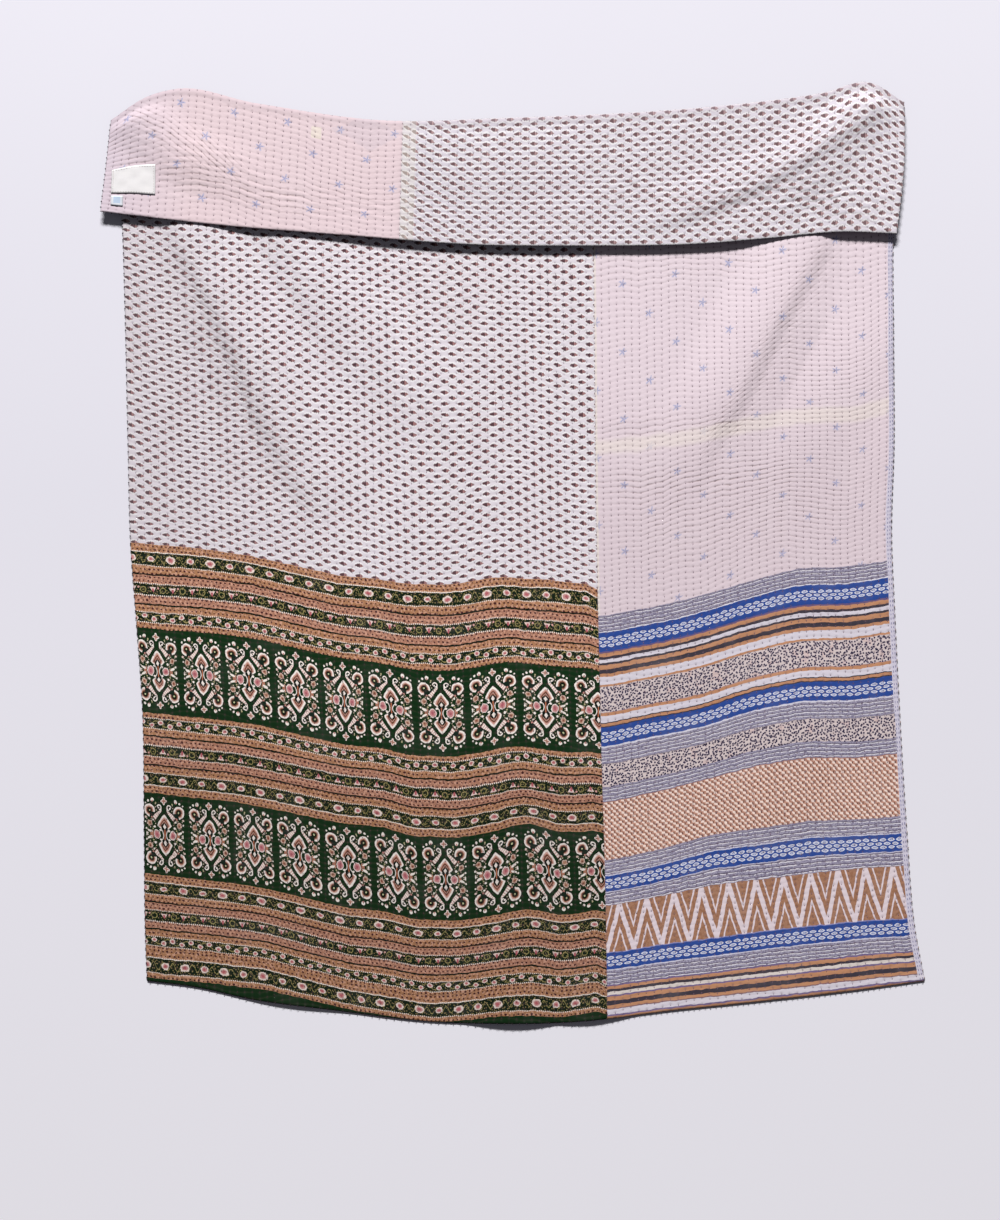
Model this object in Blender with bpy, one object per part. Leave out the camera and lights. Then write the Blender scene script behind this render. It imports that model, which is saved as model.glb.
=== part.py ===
"""A kantha quilt: two face panels and two back panels of old sari cloth, quilted through in straight
rows of running stitch. It lies flat with its face up, and its top end is folded over onto the face.

Every piece is placed on the cloth itself: `across` runs from the quilt's left edge, `along` runs from
its bottom edge up the face, round the fold and down the turned-over end, and `proud` is the height
above the middle of the cloth, on the face's side. cloth_points() bends those into world places.
"""

import math

import bmesh
import bpy
import numpy as np

# Driving sizes, in metres.
ROW_PITCH = 0.01277  # between two rows of running stitch
ROWS = 101
FLAT_WIDTH = ROWS * ROW_PITCH
FACE_SEAM_ROW = 61  # the face's two panels meet on this row
BACK_SEAM_ROW = 37  # and the back's two panels on this one
LAYER_THICKNESS = 0.0013
LAYER_GAP = 0.0003
ROW_RELIEF = 0.0005  # how far the cloth stands up between two rows
BEND_RADIUS = 0.006  # of the fold, at the middle of the cloth
FACE_LENGTH = 1.485  # from the bottom edge to the start of the fold
FLAP_LENGTH = 0.200  # the turned-over end, past the fold
SEAM_GAP = 0.0003

HALF_GAP = LAYER_GAP / 2
SKIN = HALF_GAP + LAYER_THICKNESS  # from the middle of the cloth to either surface
FOLD_END = FACE_LENGTH + math.pi * BEND_RADIUS
FLAT_LENGTH = FOLD_END + FLAP_LENGTH
SEAM_SHARE = FACE_SEAM_ROW / ROWS

# The outline as it lies. Columns: along, then x of the left edge, of the face's seam, of the right edge.
EDGES = (
    (0.000, -0.610, 0.157, 0.6865),
    (0.080, -0.613, 0.156, 0.671),
    (0.250, -0.615, 0.153, 0.656),
    (0.460, -0.618, 0.147, 0.643),
    (0.600, -0.628, 0.144, 0.636),
    (0.720, -0.637, 0.141, 0.631),
    (0.900, -0.642, 0.138, 0.635),
    (1.120, -0.647, 0.136, 0.634),
    (1.285, -0.652, 0.134, 0.634),
    (1.485, -0.668, 0.132, 0.650),
    (1.600, -0.677, 0.132, 0.650),
    (1.704, -0.6865, 0.133, 0.638),
)

# Lines that run straight across the flat cloth, as they lie. Columns: share of the width, y.
HEM = (
    (0.000, -0.713), (0.070, -0.725), (0.130, -0.742), (0.234, -0.760), (0.384, -0.782),
    (0.470, -0.784), (0.551, -0.782), (0.604, -0.776), (0.683, -0.763), (0.776, -0.750), (0.919, -0.728), (1.000, -0.713),
)
LOW_BORDER = (
    (0.000, -0.615), (0.084, -0.628), (0.162, -0.643), (0.248, -0.661), (0.314, -0.674), (0.363, -0.688),
    (0.397, -0.689), (0.499, -0.675), (0.555, -0.681), (0.605, -0.678), (0.683, -0.664), (0.776, -0.648),
    (0.871, -0.634), (1.000, -0.612),
)
HIGH_BORDER = (
    (0.000, -0.015), (0.084, -0.026), (0.162, -0.043), (0.248, -0.061), (0.314, -0.074), (0.363, -0.087),
    (0.397, -0.088), (0.499, -0.070), (0.555, -0.083), (0.605, -0.089), (0.657, -0.080), (0.737, -0.063),
    (0.804, -0.038), (0.871, -0.018), (0.939, -0.010), (1.000, 0.003),
)
UNDER_FLAP = (
    (0.000, 0.557), (0.150, 0.545), (0.300, 0.530), (0.450, 0.512), (0.600, 0.509), (0.750, 0.514),
    (0.870, 0.523), (1.000, 0.530),
)
FOLD = (
    (0.000, 0.718), (0.045, 0.757), (0.080, 0.770), (0.180, 0.747), (0.342, 0.718), (0.488, 0.722),
    (0.677, 0.733), (0.787, 0.745), (0.900, 0.765), (0.955, 0.781), (1.000, 0.748),
)
FLAP_EDGE = (
    (0.000, 0.567), (0.143, 0.545), (0.306, 0.527), (0.456, 0.512), (0.604, 0.510), (0.740, 0.513),
    (0.837, 0.523), (0.928, 0.533), (1.000, 0.530),
)
# Columns: along, the line that lies there. The last one is the start of the fold, under its crown.
FACE_LINES = (
    (0.000, HEM), (0.100, LOW_BORDER), (0.700, HIGH_BORDER), (1.285, UNDER_FLAP), (FACE_LENGTH, FOLD),
)

# Soft folds. Columns: three points (x, y) down the fold, its height at each, and how far it reaches
# to the left and to the right of the line, looking down it from the first point.
FACE_FOLDS = (
    (((-0.548, 0.630), (-0.485, 0.390), (-0.325, 0.088)), (0.0055, 0.0060, 0.0), 0.120, 0.085),
    (((0.500, 0.630), (0.455, 0.405), (0.295, 0.105)), (0.0055, 0.0060, 0.0), 0.085, 0.120),
    (((-0.400, 0.600), (-0.188, 0.305), (-0.047, 0.138)), (0.0030, 0.0035, 0.0), 0.100, 0.100),
    (((0.640, 0.470), (0.528, 0.255), (0.460, 0.080)), (0.0, 0.0030, 0.0), 0.090, 0.090),
    (((0.010, -0.040), (0.008, -0.400), (0.003, -0.800)), (0.0, 0.0055, 0.0062), 0.100, 0.095),
    (((0.128, -0.100), (0.130, -0.450), (0.132, -0.800)), (0.0, 0.0035, 0.0045), 0.080, 0.090),
    (((-0.355, -0.150), (-0.360, -0.450), (-0.365, -0.800)), (0.0, 0.0025, 0.0030), 0.110, 0.110),
    (((0.478, -0.100), (0.465, -0.300), (0.440, -0.560)), (0.0, 0.0035, 0.0), 0.110, 0.110),
)
FLAP_FOLDS = (
    (((-0.640, 0.735), (-0.555, 0.663), (-0.372, 0.600)), (0.0050, 0.0045, 0.0), 0.060, 0.060),
    (((0.610, 0.770), (0.520, 0.660), (0.385, 0.560)), (0.0060, 0.0050, 0.0), 0.060, 0.060),
    (((-0.300, 0.700), (-0.040, 0.640), (0.200, 0.700)), (0.0, 0.0020, 0.0), 0.080, 0.080),
)
FLAP_FOLDS_FADE = 0.030  # the folds of the flap die out this far from the quilt's own fold

# Where the meshes have their lines. The visible surfaces have a point on and between all the rows.
STATION_ROWS = (
    0, 3, 6, 9, 12, 15, 18, 22, 25, 28, 31, 34, 37, 40, 43, 46, 49, 52, 55, 58, 61,
    64, 67, 70, 73, 76, 79, 83, 86, 89, 92, 95, 98, 101,
)  # fmt: skip
FACE_STEPS = (
    0.0, 0.06, 0.18, 0.32, 0.46, 0.58, 0.68, 0.75, 0.82, 0.89, 0.96, 1.03, 1.10, 1.17, 1.23, 1.30, 1.39,
)
FACE_HIDDEN_FROM = 1.30  # past this the turned-over end covers the face
BEND_STEPS = 6
BACK_SHOWS_FROM = FACE_LENGTH + math.pi * BEND_RADIUS / 3
LABEL_TOP, LABEL_BOTTOM = 0.111, 0.161  # along the flap, from the fold
FLAP_STEPS = (0.0, 0.050, LABEL_TOP, LABEL_BOTTOM, FLAP_LENGTH)

LABEL_ROWS = (1, 6.5)  # the rows that it lies between
CARE_ROWS = (1, 2.5)
CARE_TOP, CARE_BOTTOM = 0.166, 0.186
LABEL_THICKNESS = 0.0006
LABEL_CLEARANCE = 0.0003

# Columns: name, colour, roughness.
MATERIALS = {
    "face_panel_green_border": ((0.58, 0.53, 0.62, 1.0), 0.9),
    "face_panel_blue_border": ((0.76, 0.61, 0.63, 1.0), 0.9),
    "back_panel_pink": ((0.72, 0.47, 0.50, 1.0), 0.9),
    "back_panel_bud": ((0.60, 0.50, 0.58, 1.0), 0.9),
    "sewn_label": ((0.84, 0.79, 0.70, 1.0), 0.8),
    "care_label": ((0.85, 0.85, 0.88, 1.0), 0.7),
}


def through(knots, values, at):
    """A smooth curve through values, given at the knots, read at each number in `at`."""
    knots = np.array(knots, float)
    values = np.array(values, float).reshape(len(knots), -1) * np.ones((1, len(at)))
    slopes = np.gradient(values, knots, axis=0)
    k = np.clip(np.searchsorted(knots, at) - 1, 0, len(knots) - 2)
    each = np.arange(len(at))
    run = knots[k + 1] - knots[k]
    s = (at - knots[k]) / run
    low, high = values[k, each], values[k + 1, each]
    low_slope, high_slope = slopes[k, each] * run, slopes[k + 1, each] * run
    return (
        (2 * s**3 - 3 * s**2 + 1) * low
        + (3 * s**2 - 2 * s**3) * high
        + (s**3 - 2 * s**2 + s) * low_slope
        + (s**3 - s**2) * high_slope
    )


def line_at(line, share):
    """The y of a line across the cloth, at each share of the width."""
    shares, heights = zip(*line)
    return through(shares, heights, share)


def soft_steps(s):
    """0 up to s = 0, 1 from s = 1, and smooth between."""
    s = np.clip(s, 0.0, 1.0)
    return s * s * (3 - 2 * s)


def raised(folds, x, y):
    """How far the folds lift the cloth at each (x, y): the highest of them, never below the floor."""
    lift = np.zeros_like(x)
    for points, heights, left, right in folds:
        for end in range(len(points) - 1):
            (x0, y0), (x1, y1) = points[end], points[end + 1]
            dx, dy = x1 - x0, y1 - y0
            length = math.hypot(dx, dy)
            s = ((x - x0) * dx + (y - y0) * dy) / length**2
            side = ((x - x0) * dy - (y - y0) * dx) / length
            held = np.clip(s, 0.0, 1.0)
            away = np.hypot(side, (s - held) * length)
            reach = np.where(side < 0, left, right)
            crest = heights[end] + (heights[end + 1] - heights[end]) * soft_steps(held)
            lift = np.maximum(lift, crest * np.clip(1 - (away / reach) ** 2, 0.0, 1.0) ** 2)
    return lift


def middle(across, along):
    """World places of the middle of the cloth, one row for each (across, along)."""
    share = across / FLAT_WIDTH
    alongs, *edges = zip(*EDGES)
    left, seam, right = (through(alongs, edge, along) for edge in edges)
    x = np.where(
        share < SEAM_SHARE,
        left + (seam - left) * share / SEAM_SHARE,
        seam + (right - seam) * (share - SEAM_SHARE) / (1 - SEAM_SHARE),
    )
    crown = line_at(FOLD, share)
    line_ends = [line_at(line, share) for _, line in FACE_LINES]
    line_ends[-1] = crown - BEND_RADIUS
    face_y = through([start for start, _ in FACE_LINES], line_ends, np.minimum(along, FACE_LENGTH))
    turn = np.clip((along - FACE_LENGTH) / BEND_RADIUS, 0.0, math.pi)
    down = np.clip((along - FOLD_END) / FLAP_LENGTH, 0.0, None)
    flap_y = (line_at(FLAP_EDGE, share) - crown + BEND_RADIUS) * down
    y = face_y + BEND_RADIUS * np.sin(turn) + flap_y
    z = SKIN + BEND_RADIUS * (1 - np.cos(turn))
    z += np.where(along < FACE_LENGTH, raised(FACE_FOLDS, x, y), 0.0)
    fade = soft_steps((along - FOLD_END) / FLAP_FOLDS_FADE)
    z += np.where(along > FOLD_END, fade * raised(FLAP_FOLDS, x, y), 0.0)
    return np.stack([x, y, z], axis=1)


def cloth_points(across, along, proud):
    """World places `proud` of the middle of the cloth, along its normal."""
    across, along, proud = np.broadcast_arrays(
        *(np.asarray(value, float) for value in (across, along, proud))
    )
    step = 0.0005
    sideways = middle(across + step, along) - middle(across - step, along)
    lengthways = middle(across, along + step) - middle(across, along - step)
    normal = np.cross(sideways, lengthways)
    normal /= np.linalg.norm(normal, axis=1, keepdims=True)
    return middle(across, along) + proud[:, None] * normal


def zip_rows(bm, one, other):
    """Fills between two rows of vertices, of like or unlike counts, with triangles."""
    i = j = 0
    while i < len(one) - 1 or j < len(other) - 1:
        if (i + 1) * (len(other) - 1) <= (j + 1) * (len(one) - 1) and i < len(one) - 1:
            bm.faces.new((one[i], one[i + 1], other[j]))
            i += 1
        else:
            bm.faces.new((one[i], other[j + 1], other[j]))
            j += 1


def surface(bm, lines):
    """One side of a piece. Each line is (across values, along, proud values)."""
    rows = []
    for across, along, proud in lines:
        places = cloth_points(across, np.full(len(across), along), proud)
        rows.append([bm.verts.new(place) for place in places])
    for one, other in zip(rows, rows[1:]):
        zip_rows(bm, one, other)
    return rows


def closed_piece(name, upper_lines, lower_lines):
    """A closed solid between two surfaces that share their `along` steps."""
    bm = bmesh.new()
    upper, lower = surface(bm, upper_lines), surface(bm, lower_lines)
    for end in (0, -1):
        zip_rows(bm, upper[end], lower[end])
        zip_rows(bm, [row[end] for row in upper], [row[end] for row in lower])
    bmesh.ops.recalc_face_normals(bm, faces=bm.faces)
    mesh = bpy.data.meshes.new(name)
    bm.to_mesh(mesh)
    bm.free()
    mesh.shade_smooth()
    mesh.set_sharp_from_angle(angle=math.radians(40))
    mesh.materials.append(cloth_material(name))
    obj = bpy.data.objects.new(name, mesh)
    quilt_collection().objects.link(obj)
    return obj


def cloth_material(name):
    material = bpy.data.materials.new(name)
    material.use_nodes = True
    shader = material.node_tree.nodes["Principled BSDF"]
    colour, roughness = MATERIALS[name]
    shader.inputs["Base Color"].default_value = colour
    shader.inputs["Roughness"].default_value = roughness
    shader.inputs["Metallic"].default_value = 0.0
    return material


def quilt_collection():
    found = bpy.data.collections.get("kantha_quilt")
    if not found:
        found = bpy.data.collections.new("kantha_quilt")
        bpy.context.scene.collection.children.link(found)
    return found


def steps_along():
    bend = [FACE_LENGTH + math.pi * BEND_RADIUS * k / BEND_STEPS for k in range(BEND_STEPS)]
    return [*FACE_STEPS, *bend, *(FOLD_END + step for step in FLAP_STEPS)]


def station_line(first_row, last_row):
    """Across values at the stations of a panel between two rows, kept half a seam gap clear at a seam."""
    rows = [row for row in STATION_ROWS if first_row <= row <= last_row]
    return trimmed(rows, first_row, last_row)


def quilted_line(first_row, last_row):
    """Across values on each row of stitches and midway between two, for the same panel."""
    rows = [half / 2 for half in range(2 * first_row, 2 * last_row + 1)]
    return trimmed(rows, first_row, last_row)


def trimmed(rows, first_row, last_row):
    across = np.array(rows, float) * ROW_PITCH
    across[0] += SEAM_GAP / 2 if first_row > 0 else 0.0
    across[-1] -= SEAM_GAP / 2 if last_row < ROWS else 0.0
    return across


def between_rows(count):
    """The quilting's relief at the points of a quilted line: none on a row, full midway."""
    return ROW_RELIEF * (np.arange(count) % 2)


def panel(name, first_row, last_row, quilted_side, quilted_steps):
    """One layer of one panel. quilted_side is 1 for the face and -1 for the back."""
    plain = station_line(first_row, last_row)
    quilted = quilted_line(first_row, last_row)
    shows, hidden = [], []
    for along in steps_along():
        hidden.append((plain, along, np.full(len(plain), quilted_side * HALF_GAP)))
        if quilted_steps[0] - 1e-6 <= along <= quilted_steps[1] + 1e-6:
            shows.append((quilted, along, quilted_side * (SKIN + between_rows(len(quilted)))))
        else:
            shows.append((plain, along, np.full(len(plain), quilted_side * SKIN)))
    upper, lower = (shows, hidden) if quilted_side > 0 else (hidden, shows)
    return closed_piece(name, upper, lower)


def flap_label(name, rows, top, bottom):
    """A label that lies on the back, on the turned-over end, between two rows of stitches."""
    halves = np.arange(round(2 * rows[0]), round(2 * rows[1]) + 1) / 2
    across = halves * ROW_PITCH
    near = -(SKIN + ROW_RELIEF + LABEL_CLEARANCE)
    sides = []
    for proud in (near, near - LABEL_THICKNESS):
        sides.append([(across, FOLD_END + step, np.full(len(across), proud)) for step in (top, bottom)])
    return closed_piece(name, *sides)


def clear_scene():
    for obj in list(bpy.data.objects):
        bpy.data.objects.remove(obj)


def main():
    clear_scene()
    face_shows = (0.0, FACE_HIDDEN_FROM)
    back_shows = (BACK_SHOWS_FROM, FLAT_LENGTH)
    panel("face_panel_green_border", 0, FACE_SEAM_ROW, 1, face_shows)
    panel("face_panel_blue_border", FACE_SEAM_ROW, ROWS, 1, face_shows)
    panel("back_panel_pink", 0, BACK_SEAM_ROW, -1, back_shows)
    panel("back_panel_bud", BACK_SEAM_ROW, ROWS, -1, back_shows)
    flap_label("sewn_label", LABEL_ROWS, LABEL_TOP, LABEL_BOTTOM)
    flap_label("care_label", CARE_ROWS, CARE_TOP, CARE_BOTTOM)


main()
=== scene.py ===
"""Dresses the kantha quilt: its four panels of old sari cloth, the stitching, the labels and the stage."""

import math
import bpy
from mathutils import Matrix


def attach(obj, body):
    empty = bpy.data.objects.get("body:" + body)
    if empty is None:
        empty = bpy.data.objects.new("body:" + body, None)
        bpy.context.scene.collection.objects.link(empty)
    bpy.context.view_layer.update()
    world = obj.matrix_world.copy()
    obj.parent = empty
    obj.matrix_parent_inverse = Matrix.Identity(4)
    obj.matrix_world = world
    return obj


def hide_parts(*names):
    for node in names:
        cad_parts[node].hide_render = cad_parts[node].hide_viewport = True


bl_info = {
    "name": "Kantha Quilt",
    "version": (1, 0, 0),
    "blender": (4, 5, 0),
    "location": "3D View > Sidebar > Quilt",
    "description": "Makes the cloth panels, running stitch, whipped edges and labels of a laid kantha quilt",
    "category": "Object",
}

from functools import partialmethod, reduce

import bmesh
import bpy
import numpy as np
from bpy.props import FloatProperty, FloatVectorProperty, PointerProperty
from mathutils import Matrix, Vector

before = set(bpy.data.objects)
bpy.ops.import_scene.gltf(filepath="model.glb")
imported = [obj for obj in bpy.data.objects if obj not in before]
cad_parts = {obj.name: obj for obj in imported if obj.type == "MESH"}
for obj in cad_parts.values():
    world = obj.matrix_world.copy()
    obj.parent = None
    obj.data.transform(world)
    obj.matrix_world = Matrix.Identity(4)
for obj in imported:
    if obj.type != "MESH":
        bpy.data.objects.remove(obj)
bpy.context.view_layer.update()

# --- How the cloth lies. The numbers are the solids' own, in metres. ---

ROW_PITCH = 0.01277  # between two rows of running stitch
ROWS = 101
FLAT_WIDTH = ROWS * ROW_PITCH
FACE_SEAM_ROW = 61
BACK_SEAM_ROW = 37
LAYER_THICKNESS = 0.0013
LAYER_GAP = 0.0003
BEND_RADIUS = 0.006
FACE_LENGTH = 1.485
FLAP_LENGTH = 0.200
BORDER_LENGTH = 0.728  # the green border's reach along the face
SKIN = LAYER_GAP / 2 + LAYER_THICKNESS  # from the middle of the cloth to a layer's outer surface
FOLD_END = FACE_LENGTH + math.pi * BEND_RADIUS
FLAT_LENGTH = FOLD_END + FLAP_LENGTH
SEAM_SHARE = FACE_SEAM_ROW / ROWS

# Columns: along, then x of the left edge, of the face's seam, of the right edge.
EDGES = (
    (0.000, -0.610, 0.157, 0.6865),
    (0.080, -0.613, 0.156, 0.671),
    (0.250, -0.615, 0.153, 0.656),
    (0.460, -0.618, 0.147, 0.643),
    (0.600, -0.628, 0.144, 0.636),
    (0.720, -0.637, 0.141, 0.631),
    (0.900, -0.642, 0.138, 0.635),
    (1.120, -0.647, 0.136, 0.634),
    (1.285, -0.652, 0.134, 0.634),
    (1.485, -0.668, 0.132, 0.650),
    (1.600, -0.677, 0.132, 0.650),
    (1.704, -0.6865, 0.133, 0.638),
)

# Lines that run straight across the flat cloth, as they lie. Columns: share of the width, y.
HEM = (
    (0.000, -0.713), (0.070, -0.725), (0.130, -0.742), (0.234, -0.760), (0.384, -0.782),
    (0.470, -0.784), (0.551, -0.782), (0.604, -0.776), (0.683, -0.763), (0.776, -0.750), (0.919, -0.728),
    (1.000, -0.713),
)
LOW_BORDER = (
    (0.000, -0.615), (0.084, -0.628), (0.162, -0.643), (0.248, -0.661), (0.314, -0.674), (0.363, -0.688),
    (0.397, -0.689), (0.499, -0.675), (0.555, -0.681), (0.605, -0.678), (0.683, -0.664), (0.776, -0.648),
    (0.871, -0.634), (1.000, -0.612),
)
HIGH_BORDER = (
    (0.000, -0.015), (0.084, -0.026), (0.162, -0.043), (0.248, -0.061), (0.314, -0.074), (0.363, -0.087),
    (0.397, -0.088), (0.499, -0.070), (0.555, -0.083), (0.605, -0.089), (0.657, -0.080), (0.737, -0.063),
    (0.804, -0.038), (0.871, -0.018), (0.939, -0.010), (1.000, 0.003),
)
UNDER_FLAP = (
    (0.000, 0.557), (0.150, 0.545), (0.300, 0.530), (0.450, 0.512), (0.600, 0.509), (0.750, 0.514),
    (0.870, 0.523), (1.000, 0.530),
)
FOLD = (
    (0.000, 0.718), (0.045, 0.757), (0.080, 0.770), (0.180, 0.747), (0.342, 0.718), (0.488, 0.722),
    (0.677, 0.733), (0.787, 0.745), (0.900, 0.765), (0.955, 0.781), (1.000, 0.748),
)
FLAP_EDGE = (
    (0.000, 0.567), (0.143, 0.545), (0.306, 0.527), (0.456, 0.512), (0.604, 0.510), (0.740, 0.513),
    (0.837, 0.523), (0.928, 0.533), (1.000, 0.530),
)
FACE_LINES = (
    (0.000, HEM), (0.100, LOW_BORDER), (0.700, HIGH_BORDER), (1.285, UNDER_FLAP), (FACE_LENGTH, FOLD),
)

# Soft folds. Columns: three points (x, y) down the fold, its height at each, and how far it reaches
# to the left and to the right of the line, looking down it from the first point.
FACE_FOLDS = (
    (((-0.548, 0.630), (-0.485, 0.390), (-0.325, 0.088)), (0.0055, 0.0060, 0.0), 0.120, 0.085),
    (((0.500, 0.630), (0.455, 0.405), (0.295, 0.105)), (0.0055, 0.0060, 0.0), 0.085, 0.120),
    (((-0.400, 0.600), (-0.188, 0.305), (-0.047, 0.138)), (0.0030, 0.0035, 0.0), 0.100, 0.100),
    (((0.640, 0.470), (0.528, 0.255), (0.460, 0.080)), (0.0, 0.0030, 0.0), 0.090, 0.090),
    (((0.010, -0.040), (0.008, -0.400), (0.003, -0.800)), (0.0, 0.0055, 0.0062), 0.100, 0.095),
    (((0.128, -0.100), (0.130, -0.450), (0.132, -0.800)), (0.0, 0.0035, 0.0045), 0.080, 0.090),
    (((-0.355, -0.150), (-0.360, -0.450), (-0.365, -0.800)), (0.0, 0.0025, 0.0030), 0.110, 0.110),
    (((0.478, -0.100), (0.465, -0.300), (0.440, -0.560)), (0.0, 0.0035, 0.0), 0.110, 0.110),
)
FLAP_FOLDS = (
    (((-0.640, 0.735), (-0.555, 0.663), (-0.372, 0.600)), (0.0050, 0.0045, 0.0), 0.060, 0.060),
    (((0.610, 0.770), (0.520, 0.660), (0.385, 0.560)), (0.0060, 0.0050, 0.0), 0.060, 0.060),
    (((-0.300, 0.700), (-0.040, 0.640), (0.200, 0.700)), (0.0, 0.0020, 0.0), 0.080, 0.080),
)
FLAP_FOLDS_FADE = 0.030  # they start this softly, after the turn

# --- Creases and stitching, finer than the solids. ---

# Bundles of small wrinkles. Columns: both ends (x, y) of the bundle's middle line, its half width,
# the distance between two wrinkles, and their height.
FACE_WRINKLES = (
    ((-0.45, 0.50), (-0.10, 0.20), 0.060, 0.034, 0.0002),
)
FLAP_WRINKLES = (
    ((-0.655, 0.715), (-0.420, 0.622), 0.036, 0.0150, 0.00026),
    ((-0.610, 0.625), (-0.180, 0.562), 0.030, 0.0135, 0.0002),
    ((0.600, 0.765), (0.410, 0.560), 0.036, 0.0180, 0.0003),
    ((0.300, 0.600), (0.620, 0.590), 0.032, 0.0150, 0.0004),
)
# Crests that fall off steeply on one side. Their columns are those of the soft folds.
FACE_CRESTS = (
    (((-0.558, 0.562), (-0.537, 0.504), (-0.489, 0.421), (-0.447, 0.327), (-0.411, 0.233), (-0.358, 0.128),
      (-0.300, 0.040)),
     (0.0018, 0.0038, 0.0058, 0.0060, 0.0052, 0.0034, 0.0), 0.100, 0.036),
    (((0.516, 0.562), (0.501, 0.506), (0.437, 0.401), (0.366, 0.261), (0.322, 0.189), (0.262, 0.060)),
     (0.0018, 0.0036, 0.0052, 0.0044, 0.0024, 0.0), 0.034, 0.110),
    (((-0.410, 0.560), (-0.330, 0.430), (-0.220, 0.290)), (0.0011, 0.0014, 0.0), 0.060, 0.052),
    (((0.150, 0.215), (0.300, 0.225), (0.420, 0.250)), (0.0002, 0.0003, 0.0), 0.020, 0.014),
)
FLAP_CRESTS = (
    (((0.610, 0.754), (0.582, 0.728), (0.481, 0.661), (0.393, 0.611), (0.281, 0.566), (0.191, 0.544)),
     (0.0008, 0.0030, 0.0044, 0.0040, 0.0026, 0.0), 0.028, 0.060),
)
# Sharp creases that run from stitch to stitch, their dark lines painted shade. Columns: both ends (x, y) of
# their band's middle line, its half width, how deep they are (and so how dark they are painted), and how many
# stitches they move on from one row to the next.
FACE_CREASES = (
    ((-0.556, 0.500), (-0.428, 0.225), 0.026, 0.80, -1),
    ((-0.428, 0.225), (-0.328, 0.047), 0.026, 0.50, -1),
    ((-0.610, 0.400), (-0.400, 0.100), 0.080, 0.30, 0),
    ((-0.30, 0.44), (0.10, 0.40), 0.060, 0.20, 0),
    ((0.330, 0.170), (0.517, 0.497), 0.026, 0.55, 1),
    ((0.320, 0.150), (0.480, 0.430), 0.045, 0.12, 0),
    ((0.150, 0.205), (0.420, 0.222), 0.018, 0.50, 0),
    ((0.150, 0.110), (0.460, 0.140), 0.026, 0.60, 0),
    ((0.150, 0.480), (0.560, 0.500), 0.050, 0.30, 0),
    ((0.440, 0.330), (0.620, 0.260), 0.080, 0.35, 0),
    ((0.200, 0.050), (0.560, 0.090), 0.080, 0.50, 0),
)
FLAP_CREASES = (
    ((-0.640, 0.735), (-0.460, 0.635), 0.024, 0.90, 1),
    ((-0.600, 0.640), (-0.330, 0.575), 0.026, 0.75, 0),
    ((-0.670, 0.700), (-0.620, 0.640), 0.034, 0.55, 0),
    ((-0.330, 0.600), (-0.090, 0.570), 0.028, 0.35, 0),
    ((-0.560, 0.690), (-0.200, 0.680), 0.050, 0.12, 0),
    ((0.600, 0.720), (0.290, 0.552), 0.022, 0.70, -1),
    ((0.130, 0.610), (0.360, 0.580), 0.026, 0.55, 0),
    ((0.420, 0.600), (0.620, 0.560), 0.030, 0.55, 0),
)
# Painted shade: PLAIN_CREASE also sets how dark the plain cloth's creases are painted.
PLAIN_CREASE = 0.14  # how deep the cloth is creased outside the bands
STITCH_PITCH = 0.0092
STITCH_SCATTER = (0.00035, 0.0006)  # how far a stitch lies out of place, across and along
STITCH_COUNTS = 1500  # places along a row at which its stitches are counted
STITCH_LEAN, STITCH_LENGTHS = 0.07, (0.75, 1.2)  # how far out of line, and shortest and longest
THREAD_FLATNESS = 0.3  # half the thread's thickness, over its width
PUCKER_REACH = 0.0024
SEAM_REACH = 0.0022
EDGE_ROUND = 0.0040  # the cloth's edges turn under over this width
UNDERSIDE_RELIEF = 0.0004
# How far the stitches of each row are out of step with the first row's.
ROW_DRIFTS = np.cumsum(np.random.default_rng(7).normal(0.0, 0.20, ROWS + 1))

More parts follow.
